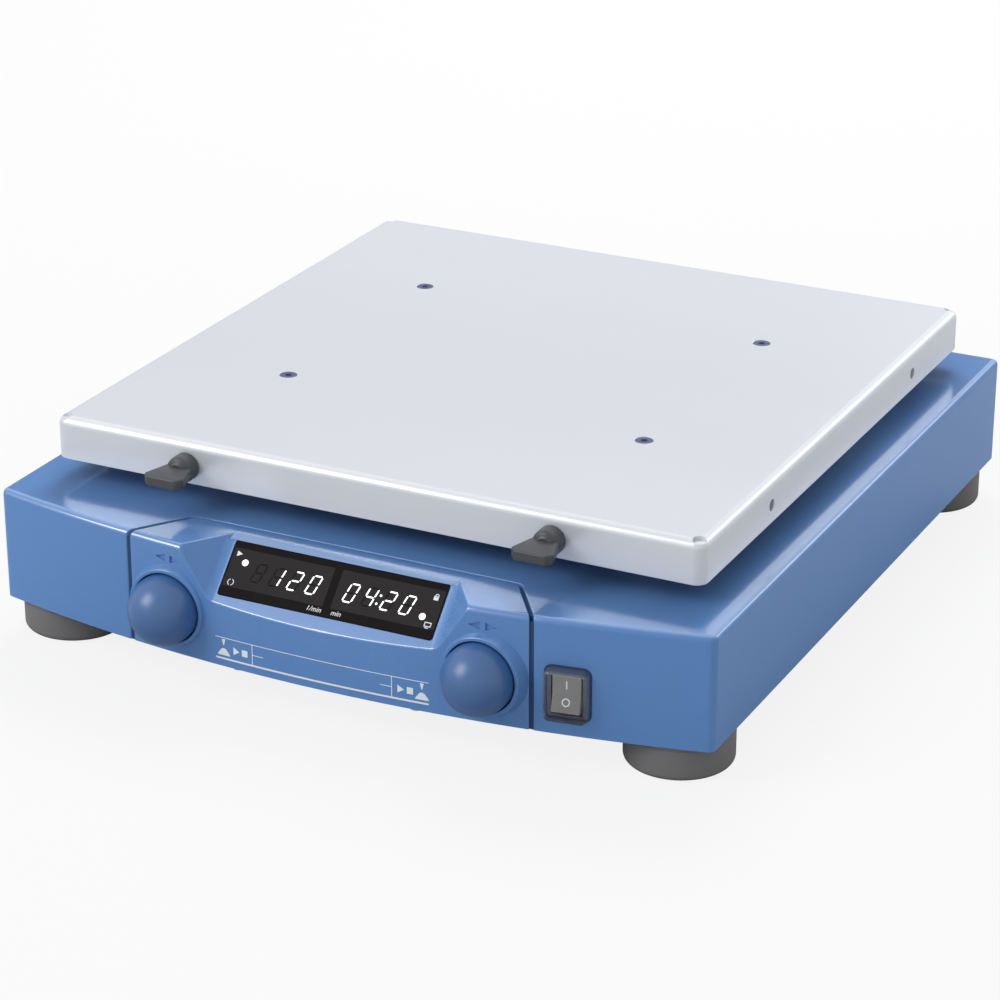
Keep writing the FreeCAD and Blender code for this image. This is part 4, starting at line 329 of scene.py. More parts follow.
    def mesh(self, name: str) -> bpy.types.Mesh:
        """Copy the form into a mesh with a name."""
        mesh = bpy.data.meshes.new(name)
        self.bm.to_mesh(mesh)
        return mesh

    def with_mesh(self, mesh: bpy.types.Mesh) -> "Form":
        """Add a mesh's faces to the form and remove that mesh."""
        self.bm.from_mesh(mesh)
        bpy.data.meshes.remove(mesh)
        return self

    def with_loose(self, *others: "Form") -> "Form":
        """Add other forms as shells of their own."""
        for other in others:
            self.with_mesh(other.mesh("step"))
        return self

    def _worked(self, others: Iterable["Form"], operation: str) -> "Form":
        """Combine the form with other ones, one after another.

        Args:
            others: the other forms.
            operation: the Boolean modifier's operation.

        Returns:
            This form.
        """
        for other in others:
            first, second = (in_scene("step", form.mesh("step")) for form in (self, other))
            step = first.modifiers.new("step", "BOOLEAN")
            step.operation, step.solver, step.object = operation, "EXACT", second
            seen = first.evaluated_get(bpy.context.evaluated_depsgraph_get())
            mesh = bpy.data.meshes.new_from_object(seen)
            self.bm.clear()
            self.with_mesh(mesh)
            for used in (first.data, second.data):
                bpy.data.meshes.remove(used)
            self._welded(WELD)
        return self

    def cut(self, *others: "Form") -> "Form":
        """Take other forms away."""
        return self._worked(others, "DIFFERENCE")

    def joined(self, *others: "Form") -> "Form":
        """Fuse other forms on."""
        return self._worked(others, "UNION")

    def finish(self, name: str, slot: str, *replaced: str, body: Body = Body.BASE,
               finish: "Finish | None" = None) -> None:
        """Make the finished piece, in metres.

        Args:
            name: the piece's name.
            slot: the record's material slot.
            replaced: the CAD nodes it stands for.
            body: the body it rides on.
            finish: its finish, if it isn't the slot's own.
        """
        bmesh.ops.scale(self.bm, vec=(MM, MM, MM), verts=self.bm.verts)
        for face in self.bm.faces:
            face.smooth = True
        mesh = self.mesh(name)
        self.bm.free()
        mesh.set_sharp_from_angle(angle=SMOOTH_ANGLE)
        mesh.materials.append((finish or FINISHES[slot]).material())
        piece = in_scene(name, mesh)
        piece.modifiers.new("shading", "WEIGHTED_NORMAL").keep_sharp = True
        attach(piece, body.value)
        if replaced:
            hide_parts(*replaced)
        LOG.info("%s: %d faces on %s", name, len(mesh.polygons), body.value)


def shader_sum(operation: str, swapped: bool = False) -> Callable[["Wire", Any], "Wire"]:
    """Make an operator of wires that adds one Math node.

    Args:
        operation: the Math node's operation.
        swapped: whether the wire is the second of its two values.

    Returns:
        The method.
    """
    def method(self: "Wire", other: Any) -> "Wire":
        """Add the node and wrap its result."""
        first, second = (other, self) if swapped else (self, other)
        return self.recipe.wire(self.recipe.add("ShaderNodeMath", {0: first, 1: second},
                                                operation=operation))
    return method


class Wire:
    """A shader socket that does sums: an expression on wires adds its Math nodes."""

    def __init__(self, recipe: "Recipe", socket: bpy.types.NodeSocket) -> None:
        """Wrap a socket of a recipe."""
        self.recipe = recipe
        self.socket = socket

    __add__ = __radd__ = shader_sum("ADD")
    __sub__, __rsub__ = shader_sum("SUBTRACT"), shader_sum("SUBTRACT", swapped=True)
    __mul__ = __rmul__ = shader_sum("MULTIPLY")
    __pow__, __gt__ = shader_sum("POWER"), shader_sum("GREATER_THAN")
    greater = shader_sum("MAXIMUM")


class Recipe:
    """The nodes of one material or of the world."""

    def __init__(self, owner: bpy.types.Material | bpy.types.World) -> None:
        """Empty the owner's node tree and work in it."""
        owner.use_nodes = True
        self.tree = owner.node_tree
        self.tree.nodes.clear()

    def add(self, kind: str, sockets: dict[str | int, Any] | None = None,
            **settings: Any) -> bpy.types.Node:
        """Add a node.

        Args:
            kind: its type.
            sockets: the values or wires of its inputs, by name or number.
            settings: its properties, which are set first.

        Returns:
            The node.
        """
        made = self.tree.nodes.new(kind)
        for name, value in settings.items():
            setattr(made, name, value)
        for name, value in (sockets or {}).items():
            if isinstance(value, Wire):
                self.tree.links.new(value.socket, made.inputs[name])
            else:
                made.inputs[name].default_value = value
        return made

    def wire(self, made: bpy.types.Node, output: str | int = 0) -> Wire:
        """Wrap one of a node's outputs."""
        return Wire(self, made.outputs[output])

    def noise(self, place: Wire, scale: float, detail: float = 2.0) -> Wire:
        """Add soft noise, in features per metre, and wrap its value."""
        sockets = {"Vector": place, "Scale": scale, "Detail": detail}
        return self.wire(self.add("ShaderNodeTexNoise", sockets), "Fac")

    def ramp(self, value: Wire, start: float, end: float) -> Wire:
        """Make a mask that grows from 0 to 1 between two values."""
        return self.wire(self.add("ShaderNodeMapRange", {0: value, 1: start, 2: end}))

    def blend(self, share: Wire, low: Sequence[float], high: Sequence[float]) -> Wire:
        """Mix two colours by a share."""
        sockets = {0: share, 6: (*low, 1.0), 7: (*high, 1.0)}
        return self.wire(self.add("ShaderNodeMix", sockets, data_type="RGBA", clamp_factor=True), 2)

    def normal(self) -> tuple[Wire, Wire]:
        """Give the surface normal's parts across and up."""
        normal = self.wire(self.add("ShaderNodeNewGeometry"), "Normal")
        parts = self.add("ShaderNodeSeparateXYZ", {0: normal})
        return self.wire(parts, "X"), self.wire(parts, "Z")

    def show(self, shader: bpy.types.Node, output: str = "ShaderNodeOutputMaterial") -> None:
        """Join the last shader to the output."""
        self.add(output, {"Surface": self.wire(shader)})


def linear(colour: Sequence[float]) -> Triple:
    """Turn a screen colour of 0 to 255 into a linear one."""
    shares = [c / 255 for c in colour]
    return tuple(s / 12.92 if s <= 0.04045 else ((s + 0.055) / 1.055) ** 2.4 for s in shares)


# Features per metre of a finish's broad drift
DRIFT_SCALE = 14.0

# Where a lacquer's gloss grows and fades on rounded front edges, by the normal's parts up and across
EDGE_UP = ((0.25, 0.42), (0.7, 0.62))
EDGE_ACROSS = ((0.14, 0.06), (-0.4, -0.25))

# The normal's part up at which a level face is fully glossy
LEVEL_FULL = 0.97


@dataclass(frozen=True)
class Finish:
    """A surface: its colour drifts a little, and a fine grain catches the light."""

    name: str
    colour: Triple
    roughness: float = 0.4
    metallic: float = 0.0
    specular: float = 0.5
    coat: float = 0.0
    level_coat: float = 0.0
    level_from: float = 0.8
    edge_coat: float = 0.0
    coat_roughness: float = 0.1
    coat_index: float = 1.5
    drift: float = 0.04
    grain: float = 1500.0
    relief: float = 0.00002
    stretch: Triple = (1.0, 1.0, 1.0)
    spread: float = 0.06

    def material(self) -> bpy.types.Material:
        """Make the material once and hand it out after that.

        Returns:
            The material.
        """
        known = bpy.data.materials.get(self.name)
        if known:
            return known
        made = bpy.data.materials.new(self.name)
        recipe = Recipe(made)
        recipe.show(recipe.add("ShaderNodeBsdfPrincipled", self.shell(recipe)))
        return made

    def place(self, recipe: Recipe) -> Wire:
        """Give the pattern's own coordinates in metres, drawn out along the grain."""
        spot = recipe.wire(recipe.add("ShaderNodeTexCoord"), "Object")
        return recipe.wire(recipe.add("ShaderNodeMapping", {"Vector": spot, "Scale": self.stretch}))

    def shell(self, recipe: Recipe) -> dict[str | int, Any]:
        """Work out what the shader's sockets get.

        Args:
            recipe: the material's nodes.

        Returns:
            Values and wires by socket.
        """
        place = self.place(recipe)
        broad = recipe.noise(place, DRIFT_SCALE, 3.0)
        fine = recipe.noise(place, self.grain)
        shade = linear(self.colour)
        darker = [c * (1 - self.drift) for c in shade]
        lighter = [min(1.0, c * (1 + self.drift)) for c in shade]
        bump = recipe.add("ShaderNodeBump", {"Strength": 1.0, "Distance": self.relief, "Height": fine})
        return {
            "Base Color": recipe.blend(broad * 0.6 + fine * 0.4, darker, lighter),
            "Roughness": (broad * 0.5 + fine * 0.5 - 0.5) * self.spread * 2 + self.roughness,
            "Metallic": self.metallic,
            "Specular IOR Level": self.specular,
            "Coat Weight": self.gloss(recipe) if self.level_coat else self.coat,
            "Coat IOR": self.coat_index,
            "Coat Roughness": self.coat_roughness,
            "Normal": recipe.wire(bump),
        }

    def gloss(self, recipe: Recipe) -> Wire:
        """Work out the lacquer's gloss, which shows on level faces and on rounded front edges.

        Args:
            recipe: the material's nodes.

        Returns:
            The weight of the coat.
        """
        across, up = recipe.normal()
        level = recipe.ramp(up, self.level_from, LEVEL_FULL)
        edge = recipe.ramp(up, *EDGE_UP[0]) * recipe.ramp(up, *EDGE_UP[1])
        edge = edge * recipe.ramp(across, *EDGE_ACROSS[0]) * recipe.ramp(across, *EDGE_ACROSS[1])
        return (level * self.level_coat).greater(edge * self.edge_coat)


@dataclass(frozen=True)
class Glow(Finish):
    """A lit segment or lamp: a white core that dims a little across its grain."""

    strength: float = 1.0

    def shell(self, recipe: Recipe) -> dict[str | int, Any]:
        """Add the light to the plain surface.

        Args:
            recipe: the material's nodes.

        Returns:
            Values and wires by socket.
        """
        made = super().shell(recipe)
        shade = linear(self.colour)
        grain = recipe.noise(self.place(recipe), self.grain)
        light = recipe.blend(grain, [c * 0.94 for c in shade], shade)
        return made | {"Emission Color": light, "Emission Strength": self.strength}


@dataclass(frozen=True)
class Clear(Finish):
    """A clear moulding: see-through face on and denser towards its edges; its up-facing faces carry
    painted shade, a darker colour and more density.
    """

    least: float = 0.12
    most: float = 0.7
    cap: float = 0.8
    # Painted shade: the darker colour that up-facing faces of the cover are tinted towards
    shade: Triple = (78, 86, 100)

    def shell(self, recipe: Recipe) -> dict[str | int, Any]:
        """Add the see-through share to the plain surface, and paint shade on its up-facing faces.

        Args:
            recipe: the material's nodes.

        Returns:
            Values and wires by socket.
        """
        made = super().shell(recipe)
        edge = recipe.wire(recipe.add("ShaderNodeLayerWeight", {"Blend": 0.5}), "Facing") ** 2.5
        # Painted shade: up-facing faces turn darker and denser
        upper = recipe.ramp(recipe.normal()[1], 0.3, 0.75)
        colour_and_top_shade = [linear(colour) for colour in (self.colour, self.shade)]
        return made | {"Base Color": recipe.blend(upper, *colour_and_top_shade),
                       "Alpha": (edge * (self.most - self.least) + self.least).greater(upper * self.cap)}


@dataclass(frozen=True)
class Laminate(Finish):
    """A circuit board: solder mask over a woven core, with copper tracks showing under it."""

    track: Triple = (70, 122, 84)

    def shell(self, recipe: Recipe) -> dict[str | int, Any]:
        """Lay pale tracks under the mask.

        Args:
            recipe: the material's nodes.

        Returns:
            Values and wires by socket.
        """
        made = super().shell(recipe)
        wave = recipe.add("ShaderNodeTexWave", {"Vector": self.place(recipe), "Scale": 260.0,
                                                "Distortion": 5.0, "Detail": 1.0, "Detail Scale": 0.4},
                          wave_type="BANDS", bands_direction="DIAGONAL")
        tracks = recipe.wire(wave, "Fac") > 0.86
        return made | {"Base Color": recipe.blend(tracks, linear(self.colour), linear(self.track))}


BLUE = (92, 134, 191)
FINISHES: dict[str, Finish] = {
    "housing": Finish("blue_powder_coat", BLUE, 0.32, specular=0.22, level_coat=1.0, level_from=0.65,
                      edge_coat=0.8, coat_roughness=0.12, coat_index=2.3, grain=900),
    "panel": Finish("blue_moulding", BLUE, 0.26, specular=0.32, level_coat=1.0, edge_coat=0.7,
                    coat_roughness=0.12, coat_index=2.3, grain=2400, relief=0.000012),
    "knob": Finish("blue_knob", (56, 96, 150), 0.33, specular=0.7, grain=2600, relief=0.000012),
    "plate": Finish("coated_plate", (150, 152, 155), 0.5, metallic=0.3, grain=1100),
    "tray": Finish("satin_tray", (212, 215, 221), 0.34, metallic=0.3, drift=0.015, grain=700,
                   relief=0.000004, stretch=(0.06, 1.0, 1.0), spread=0.04),
    "rubber": Finish("foot_rubber", (112, 112, 113), 0.75, specular=0.4, grain=3000, relief=0.00003,
                     drift=0.1),
    "steel": Finish("plain_steel", (196, 198, 204), 0.3, metallic=1.0, grain=1800, relief=0.000006),
    "aluminium": Finish("machined_aluminium", (206, 208, 211), 0.36, metallic=1.0, grain=900,
                        stretch=(1.0, 1.0, 0.1), relief=0.000008),
    "brass": Finish("plain_brass", (205, 170, 96), 0.32, metallic=1.0, grain=1800),
    "window": Finish("dark_window", (22, 19, 19), 0.6, specular=0.06, relief=0.000002, grain=500),
    "module": Finish("display_field", (48, 46, 47), 0.65, specular=0.05, relief=0.000002),
    "board": Laminate("circuit_board", (24, 84, 50), 0.42, coat=0.4, relief=0.000008),
    "black": Finish("dark_moulding", (62, 64, 68), 0.42, grain=2800, relief=0.00003),
    "rocker": Finish("rocker_moulding", (134, 132, 130), 0.42, specular=0.3, grain=2600,
                     relief=0.00001),
    "clear": Clear("clear_cover", (132, 146, 168), 0.12, grain=200, relief=0.00001,
                   least=0.03, most=0.75),
    "belt": Finish("belt_rubber", (32, 32, 33), 0.8, grain=1600, relief=0.00004,
                   stretch=(1.0, 1.0, 0.3)),
}
PRINT = Finish("white_print", (226, 232, 240), 0.45, drift=0.03, relief=0.000004)
LIT = Glow("lit_segment", (250, 252, 255), 0.4)
UNLIT = Finish("unlit_segment", (28, 26, 27), 0.65, specular=0.05, relief=0.000002)
FRAME_PLASTIC = Finish("switch_frame_moulding", (88, 92, 100), 0.35, specular=0.3, grain=2600,
                       relief=0.00001)
# Painted shade: the dark blue of the seam strips stands in for the shade inside the seams
SEAM_SHADE = Finish("seam_painted_shade", (42, 68, 108), 0.6, specular=0.2, grain=2600)
# Painted shade: a dark blue ring round the switch cover stands in for the shadow of the gap round it
GAP_SHADE_RING = Finish("switch_gap_shade_ring", (46, 64, 96), 0.7, specular=0.2, grain=2600)
SCREW_ZINC = Finish("zinc_screw", (128, 136, 168), 0.35, metallic=0.7, relief=0.00001)


@dataclass
class Housing:
    """The painted housing: a bowed shell, open below, with the bay of the front panel cut out."""

    half: float = 180.0
    rear: float = 203.1
    wall: float = 3.0
    rounding: float = 3.0
    edge: float = 0.6
    post_slot: Triple = (42.0, 22.0, 10.98)
    inlet: Point = (27.6, 20.2)
    inlet_at: Point = (20.0, 43.6)
    port: Point = (17.4, 8.8)
    port_at: Point = (-95.0, 42.1)
    switch_opening: Point = (16.8, 21.4)

    def plan(self, inset: float = 0.0) -> list[Point]:
        """Give the plan's corners, drawn in by an inset."""
        half = self.half - inset
        return tapered(half, bow(half, inset), half, self.rear - inset)

    def build(self) -> None:
        """Build the shell."""
        form = Form.prism(self.plan(), LOWER_EDGE, ROOF, bowed=0.0)
        form.soften(self.rounding, 4, lambda m: m.z > LOWER_EDGE + 1)
        form.cut(FrontPanel.bay())
        length, width, corner = self.post_slot
        form.cut(*(Form.block(length, width, ROOF - 6, ROOF + 1, x, y, corner) for x, y in POSTS))
        form.soften(self.edge, 2, lambda m: m.z > LOWER_EDGE + 1, over=50.0)
        form.cut(Form.prism(self.plan(self.wall), LOWER_EDGE - 3, ROOF - self.wall, bowed=self.wall))
        rear = facing((0, self.rear, 0), (-1, 0, 0), (0, 0, 1))
        form.cut(Form.block(*self.inlet, -5, 5, *self.inlet_at, 0.6, 3).placed(rear),
                 Form.block(*self.port, -5, 5, *self.port_at).placed(rear),
                 Form.block(*self.switch_opening, -8, 8).placed(PowerSwitch.spot()))
        form.finish("housing_shell", "housing", "housing")


@dataclass
class FrontPanel:
    """The moulded front panel: bowed face, display recess, knob collars and arrow marks."""

    half: float = 100.3
    rear_half: float = 82.0
    rear: float = -154.3
    wall: float = 3.0
    edge: float = 0.7
    window: Triple = (108.4, 27.2, 1.5)
    rest: float = 3.0
    border: Triple = (3.1, 5.0, 9.5)
    flare: Triple = (30.4, 21.8, 43.5)
    reach: float = 30.0
    floor_corner: float = 5.2
    mouth_corner: float = 12.0
    brow: Point = (4.2, 19.0)
    brow_block: Triple = (8.0, 3.3, 6.0)
    brow_flare: float = 12.0
    knob: Point = (79.0, 39.9)
    hole: float = 16.9
    collar_radius: float = 18.8
    collar_front: float = 0.8
    collar_depth: float = 5.8
    arrow_height: float = 63.1
    room: Triple = (404.0, 33.4, 14.0)
    plate: Point = (177.0, -145.4)

    ARROWS = (((1.3, -1.9), (6.8, 0.0), (1.3, 1.9)), ((-1.3, 1.9), (-6.8, 0.0), (-1.3, -1.9)))

    # The dark strips of painted shade in the seam on the right side: corners in plan, lower and upper
    # end
    SEAM_SHADE_STRIPS = (([(99.7, -180.3), (102.0, -180.3), (96.9, -172.9), (94.7, -172.9)],
              LOWER_EDGE + 0.05, ROOF - 3.2),
             ([(98.35, -178.3), (100.65, -178.3), (85.85, -157.0), (83.7, -157.0)],
              ROOF - 3.1, ROOF - 1.2))

    @staticmethod
    def bay() -> Form:
        """Give the cutter of the bay in the housing, a seam wider than the panel."""
        form = Form.prism(tapered(124.0, -212.0, 83.1, -153.2), LOWER_EDGE - 2, ROOF + 2)
        return form.soften(2.6, 5, lambda m: m.y > -160 and abs(m.z - HALFWAY) < 5)

    @staticmethod
    def sill() -> Matrix:
        """Give the frame of the window: x across, y up along it, z out of it."""
        lean = math.radians(44.2)
        return facing((0, -183.0, 50.35), (1, 0, 0), (0, math.sin(lean), math.cos(lean)))

    def recess(self, start: float, grow: float, fillet: float = 0.0) -> Form:
        """Make the recess as a solid.

        Args:
            start: where it starts, out from the window.
            grow: how much wider it is on every side.
            fillet: how far its floor is rounded up into its slopes.

        Returns:
            The funnel, in place.
        """
        side, top, low = self.border
        width = self.window[0] + 2 * (side + grow)
        height = self.window[1] + top + low + 2 * grow
        middle = (self.window[1] + top - low) / 2
        wider, higher, lower = self.flare
        form = Form.funnel(((width, height, middle, self.floor_corner + grow, start),
                            (width + 2 * wider, height + higher + lower, middle + (higher - lower) / 2,
                             self.mouth_corner + grow, self.reach)), 8)
        if fillet:
            form.soften(fillet, 5, lambda m: abs(m.z - start) < 1e-3)
        return form.placed(self.sill())

    def brow_cut(self) -> Form:
        """Make the cutter of the sloped edge between the recess and the roof.

        Returns:
            The cutter, in place.
        """
        reach, lean = self.brow[0], math.radians(self.brow[1])
        drop = reach * math.tan(lean)
        sill = self.sill()
        up = sill.col[1]
        y = sill.translation.y + (ROOF - drop - sill.translation.z) * up.y / up.z
        width = self.window[0] + 2 * self.border[0]
        height, middle, depth = self.brow_block
        form = Form.funnel(((width, height, middle, 0.0, 0.0),
                            (width + self.brow_flare, height, middle, 0.0, depth)))
        return form.placed(Matrix.Translation((0, y, ROOF - drop)) @ Matrix.Rotation(lean, 4, "X"))

    def knob_spot(self, side: int, behind: float = 0.0) -> Matrix:
        """Give a knob's frame: its z axis points to the user."""
        return ahead(side * self.knob[0], FRONT + behind, self.knob[1])

    def collar(self, side: int) -> Form:
        """Make the collar round one knob."""
        outer, inner, top = self.collar_radius, self.hole - 2, self.collar_depth
        profile = [(inner, 0.0), (inner, top), *arc((outer - 0.5, top - 0.5), 0.5, 90, 20, 4),
                   (outer + 2.0, 0.0), (outer + 2.0, -3.5), (inner, -3.5)]
        return Form.lathe(profile, 96).placed(self.knob_spot(side, self.collar_front + top))

    def knob_cuts(self, side: int) -> list[Form]:
        """Make the cutters of one knob's hole, with its rounded rim, and of the marks over it.

        Args:
            side: -1 for the left knob, 1 for the right one.

        Returns:
            The hole and its two triangles, in place.
        """
        rim, hole = -self.collar_front, self.hole
        profile = [(0.0, -19.0), (hole, -19.0), *arc((hole + 0.5, rim - 0.5), 0.5, 180, 100, 4),
                   (hole + 0.6, rim + 4.0), (0.0, rim + 4.0)]
        spot = on_face(side * self.knob[0], self.arrow_height)
        arrows = [Form.prism(corners, -0.9, 1.0).placed(spot) for corners in self.ARROWS]
        return [Form.lathe(profile, 96).placed(self.knob_spot(side)), *arrows]

    def hollow(self) -> Form:
        """Make the space behind the panel's wall as a solid."""
        inner, back = self.half - self.wall, self.rear_half - self.wall
        form = Form.prism(tapered(inner, bow(inner, self.wall), back, self.rear - self.wall),
                          LOWER_EDGE - 3, ROOF - self.wall, bowed=self.wall)
        width, depth, start = self.room
        form.joined(Form.block(width, depth, LOWER_EDGE - 2, ROOF - 8, 0.0, FRONT + start + depth / 2))
        return form.cut(self.recess(-5.0, 4.2))

    def build(self) -> None:
        """Build the panel."""
        plan = tapered(self.half, bow(self.half), self.rear_half, self.rear)
        form = Form.prism(plan, LOWER_EDGE, ROOF, bowed=0.0)
        form.soften(2.0, 4, lambda m: m.y > self.rear - 0.1 and abs(m.z - HALFWAY) < 5)
        form.soften(3.0, 4, lambda m: m.z > ROOF - 0.1 and m.y < bow(m.x) + 0.1)
        form.cut(self.recess(0.0, 0.0, 2.8), self.brow_cut())
        form.soften(self.edge, 3, lambda m: m.z > LOWER_EDGE + 1)
        form.joined(*(self.collar(side) for side in SIDES))
        form.cut(self.hollow())
        width, height, corner = self.window
        sill = self.sill()
        form.cut(Form.block(width, height, -2.0, 0.5, 0.0, height / 2, corner).placed(sill),
                 Form.block(width - 2 * self.rest, height - 2 * self.rest, -9.0, 0.5, 0.0, height / 2,
                            corner).placed(sill))
        half, rear = self.plate
        plate = tapered(half, bow(half, self.wall), half, rear)
        form.cut(Form.prism(plate, 5.0, LOWER_EDGE + 3, bowed=self.wall))
        for side in SIDES:
            form.cut(*self.knob_cuts(side))
        form.finish("front_panel_moulding", "panel", "front_panel")
        self.build_seam_shade_strips()

    def build_seam_shade_strips(self) -> None:
        """Build the dark blue strips that close the seams on both sides of the panel: painted shade,
        standing in for the shade inside the seams.
        """
        form = Form()
        for side in SIDES:
            for corners, low, high in self.SEAM_SHADE_STRIPS:
                form.with_loose(Form.prism([(side * x, y) for x, y in corners][::side], low, high))
        form.finish("panel_seam_shade_strips", "panel", finish=SEAM_SHADE)


@dataclass
class Display:
    """The display window with its lit digits, its unlit segments and its small marks."""

    width: float = 107.8
    height: float = 26.6
    middle: float = 13.6
    field: Point = (51.2, 18.6)
    field_x: float = 27.6
    digit: Point = (4.35, 8.7)
    bar: float = 0.72
    gap: float = 0.62
    slant: float = 0.255
    steps: tuple[float, ...] = (9.5, 18.8, 28.1, 37.4)
    sunk: float = -0.05
    proud: float = 0.1
    ring_at: Point = (-49.5, -6.6)
    screen_at: Point = (49.7, -6.7)

    # The segments' places: across in half widths, up in quarter heights
    SEGMENTS = {"a": (0, 2), "b": (1, 1), "c": (1, -1), "d": (0, -2), "e": (-1, -1), "f": (-1, 1),
                "g": (0, 0)}
    SHAPES = {"0": "abcdef", "1": "bc", "2": "abdeg", "4": "bcfg", " ": ""}

    def place(self) -> Matrix:
        """Give the frame with its origin in the middle of the window's face."""
        return FrontPanel.sill() @ Matrix.Translation((0, self.middle, 0))

    def bar_form(self, length: float, upright: bool, x: float, y: float, top: float) -> Form:
        """Make one segment: a bar with pointed ends.

        Args:
            length: its length.
            upright: whether it stands.
            x: its middle across.
            y: its middle up.
            top: how far it stands off the window.

        Returns:
            The bar.
        """
        a, b = length / 2, self.bar / 2
        corners = [(0, -a), (b, b - a), (b, a - b), (0, a), (-b, a - b), (-b, b - a)]
        if not upright:
            corners = [(py, -px) for px, py in corners]
        return Form.prism([(x + px, y + py) for px, py in corners], self.sunk, top)

    def digit_form(self, shape: str, x: float, top: float) -> Form:
        """Make one digit from its segments.

        Args:
            shape: the letters of its segments.
            x: its middle across.
            top: how far it stands off the window.

        Returns:
            The digit.
        """
        width, height = self.digit
        half, quarter = width / 2, height / 4
        flat, tall = width - self.gap, height / 2 - self.gap
        form = Form()
        for across, up in (self.SEGMENTS[letter] for letter in shape):
            length = tall if across else flat
            form.with_loose(self.bar_form(length, bool(across), across * half, up * quarter, top))
        return form.slanted(self.slant).moved(x)

    def ring(self, radius: float, width: float, x: float, y: float) -> Form:
        """Make a flat ring."""
        low, high = self.sunk, self.proud
        profile = [(radius - width, low), (radius, low), (radius, high), (radius - width, high)]
        return Form.lathe(profile, 32).moved(x, y)

    def marks(self) -> Form:
        """Make the printed marks: turning ring, lock, units and the two small pictures.

        Returns:
            All marks as one form.
        """
        levels = self.sunk, self.proud
        turning = self.ring(1.6, 0.35, *self.ring_at)
        turning.cut(Form.block(0.9, 6, -1, 1, *self.ring_at))
        lock = Form.block(2.3, 2.0, *levels, 49.5, 5.8, 0.3, 2)
        shackle = self.ring(0.95, 0.35, 49.7, 6.9)
        screen = Form.block(3.4, 2.2, *levels, *self.screen_at, 0.2, 2)
        screen.cut(Form.block(2.6, 1.4, -1, 1, *self.screen_at))
        stand = Form.block(1.8, 0.4, *levels, 49.5, -8.3)
        pointer = Form.prism([(-51.2, 5.9), (-48.4, 7.2), (-51.2, 8.5)], *levels)
        form = Form().with_loose(turning, lock, shackle, screen, stand, pointer)
        for text, x in (("1/min", -5.4), ("min", 5.8)):
            form.with_loose(lettering(text, 3.4, 0.14).slanted(0.2).moved(x, -10.7, self.sunk))
        return form

    def build(self) -> None:
        """Build the window and everything on it."""
        place = self.place()
        pane = Form.block(self.width, self.height, -2.0, 0.0, corner=1.2)
        pane.soften(0.2, 2, lambda m: m.z > -0.1).placed(place)
        pane.finish("display_pane", "window", "display_window")
        fields = Form()
        for side in SIDES:
            x = side * self.field_x
            fields.with_loose(Form.block(*self.field, self.sunk, 0.03, x, 0.5, 0.5, 2))
        fields.placed(place).finish("display_fields", "module")
        dark, bright = Form(), Form()
        spots = [-x for x in reversed(self.steps)] + list(self.steps)
        for x, shown in zip(spots, " 1200420"):
            dark.with_loose(self.digit_form("abcdefg", x, 0.06))
            bright.with_loose(self.digit_form(self.SHAPES[shown], x, self.proud))
        for x, y in ((23.7, 1.7), (22.8, -2.3)):
            bright.with_loose(Form.rod(0.55, self.sunk, self.proud, x, y, 20))
        for x, y in ((-45.8, 3.5), (46.0, -3.6)):
            bright.with_loose(Form.rod(1.55, self.sunk, 0.12, x, y))
        dark.placed(place).finish("display_unlit", "module", finish=UNLIT)
        bright.placed(place).finish("display_lit", "module", finish=LIT)
        self.marks().placed(place).finish("display_marks", "window", finish=PRINT)


def lettering(text: str, size: float, thickness: float) -> Form:
    """Make flat lettering as a form, its middle at the origin.

    Args:
        text: what it says.
        size: height of the letters' body.
        thickness: how thick it is.

    Returns:
        The form, standing on its lower level.
    """
    curve = bpy.data.curves.new("text", "FONT")
    curve.body, curve.size, curve.extrude = text, size * MM, thickness / 2 * MM
    curve.align_x, curve.align_y = "CENTER", "CENTER"
    item = in_scene("text", curve)
    seen = item.evaluated_get(bpy.context.evaluated_depsgraph_get())
    form = Form().with_mesh(bpy.data.meshes.new_from_object(seen))
    bpy.data.objects.remove(item)
    bmesh.ops.scale(form.bm, vec=(1 / MM, 1 / MM, 1 / MM), verts=form.bm.verts)
    bmesh.ops.remove_doubles(form.bm, verts=form.bm.verts, dist=1e-3)
    return form.moved(z=thickness / 2)


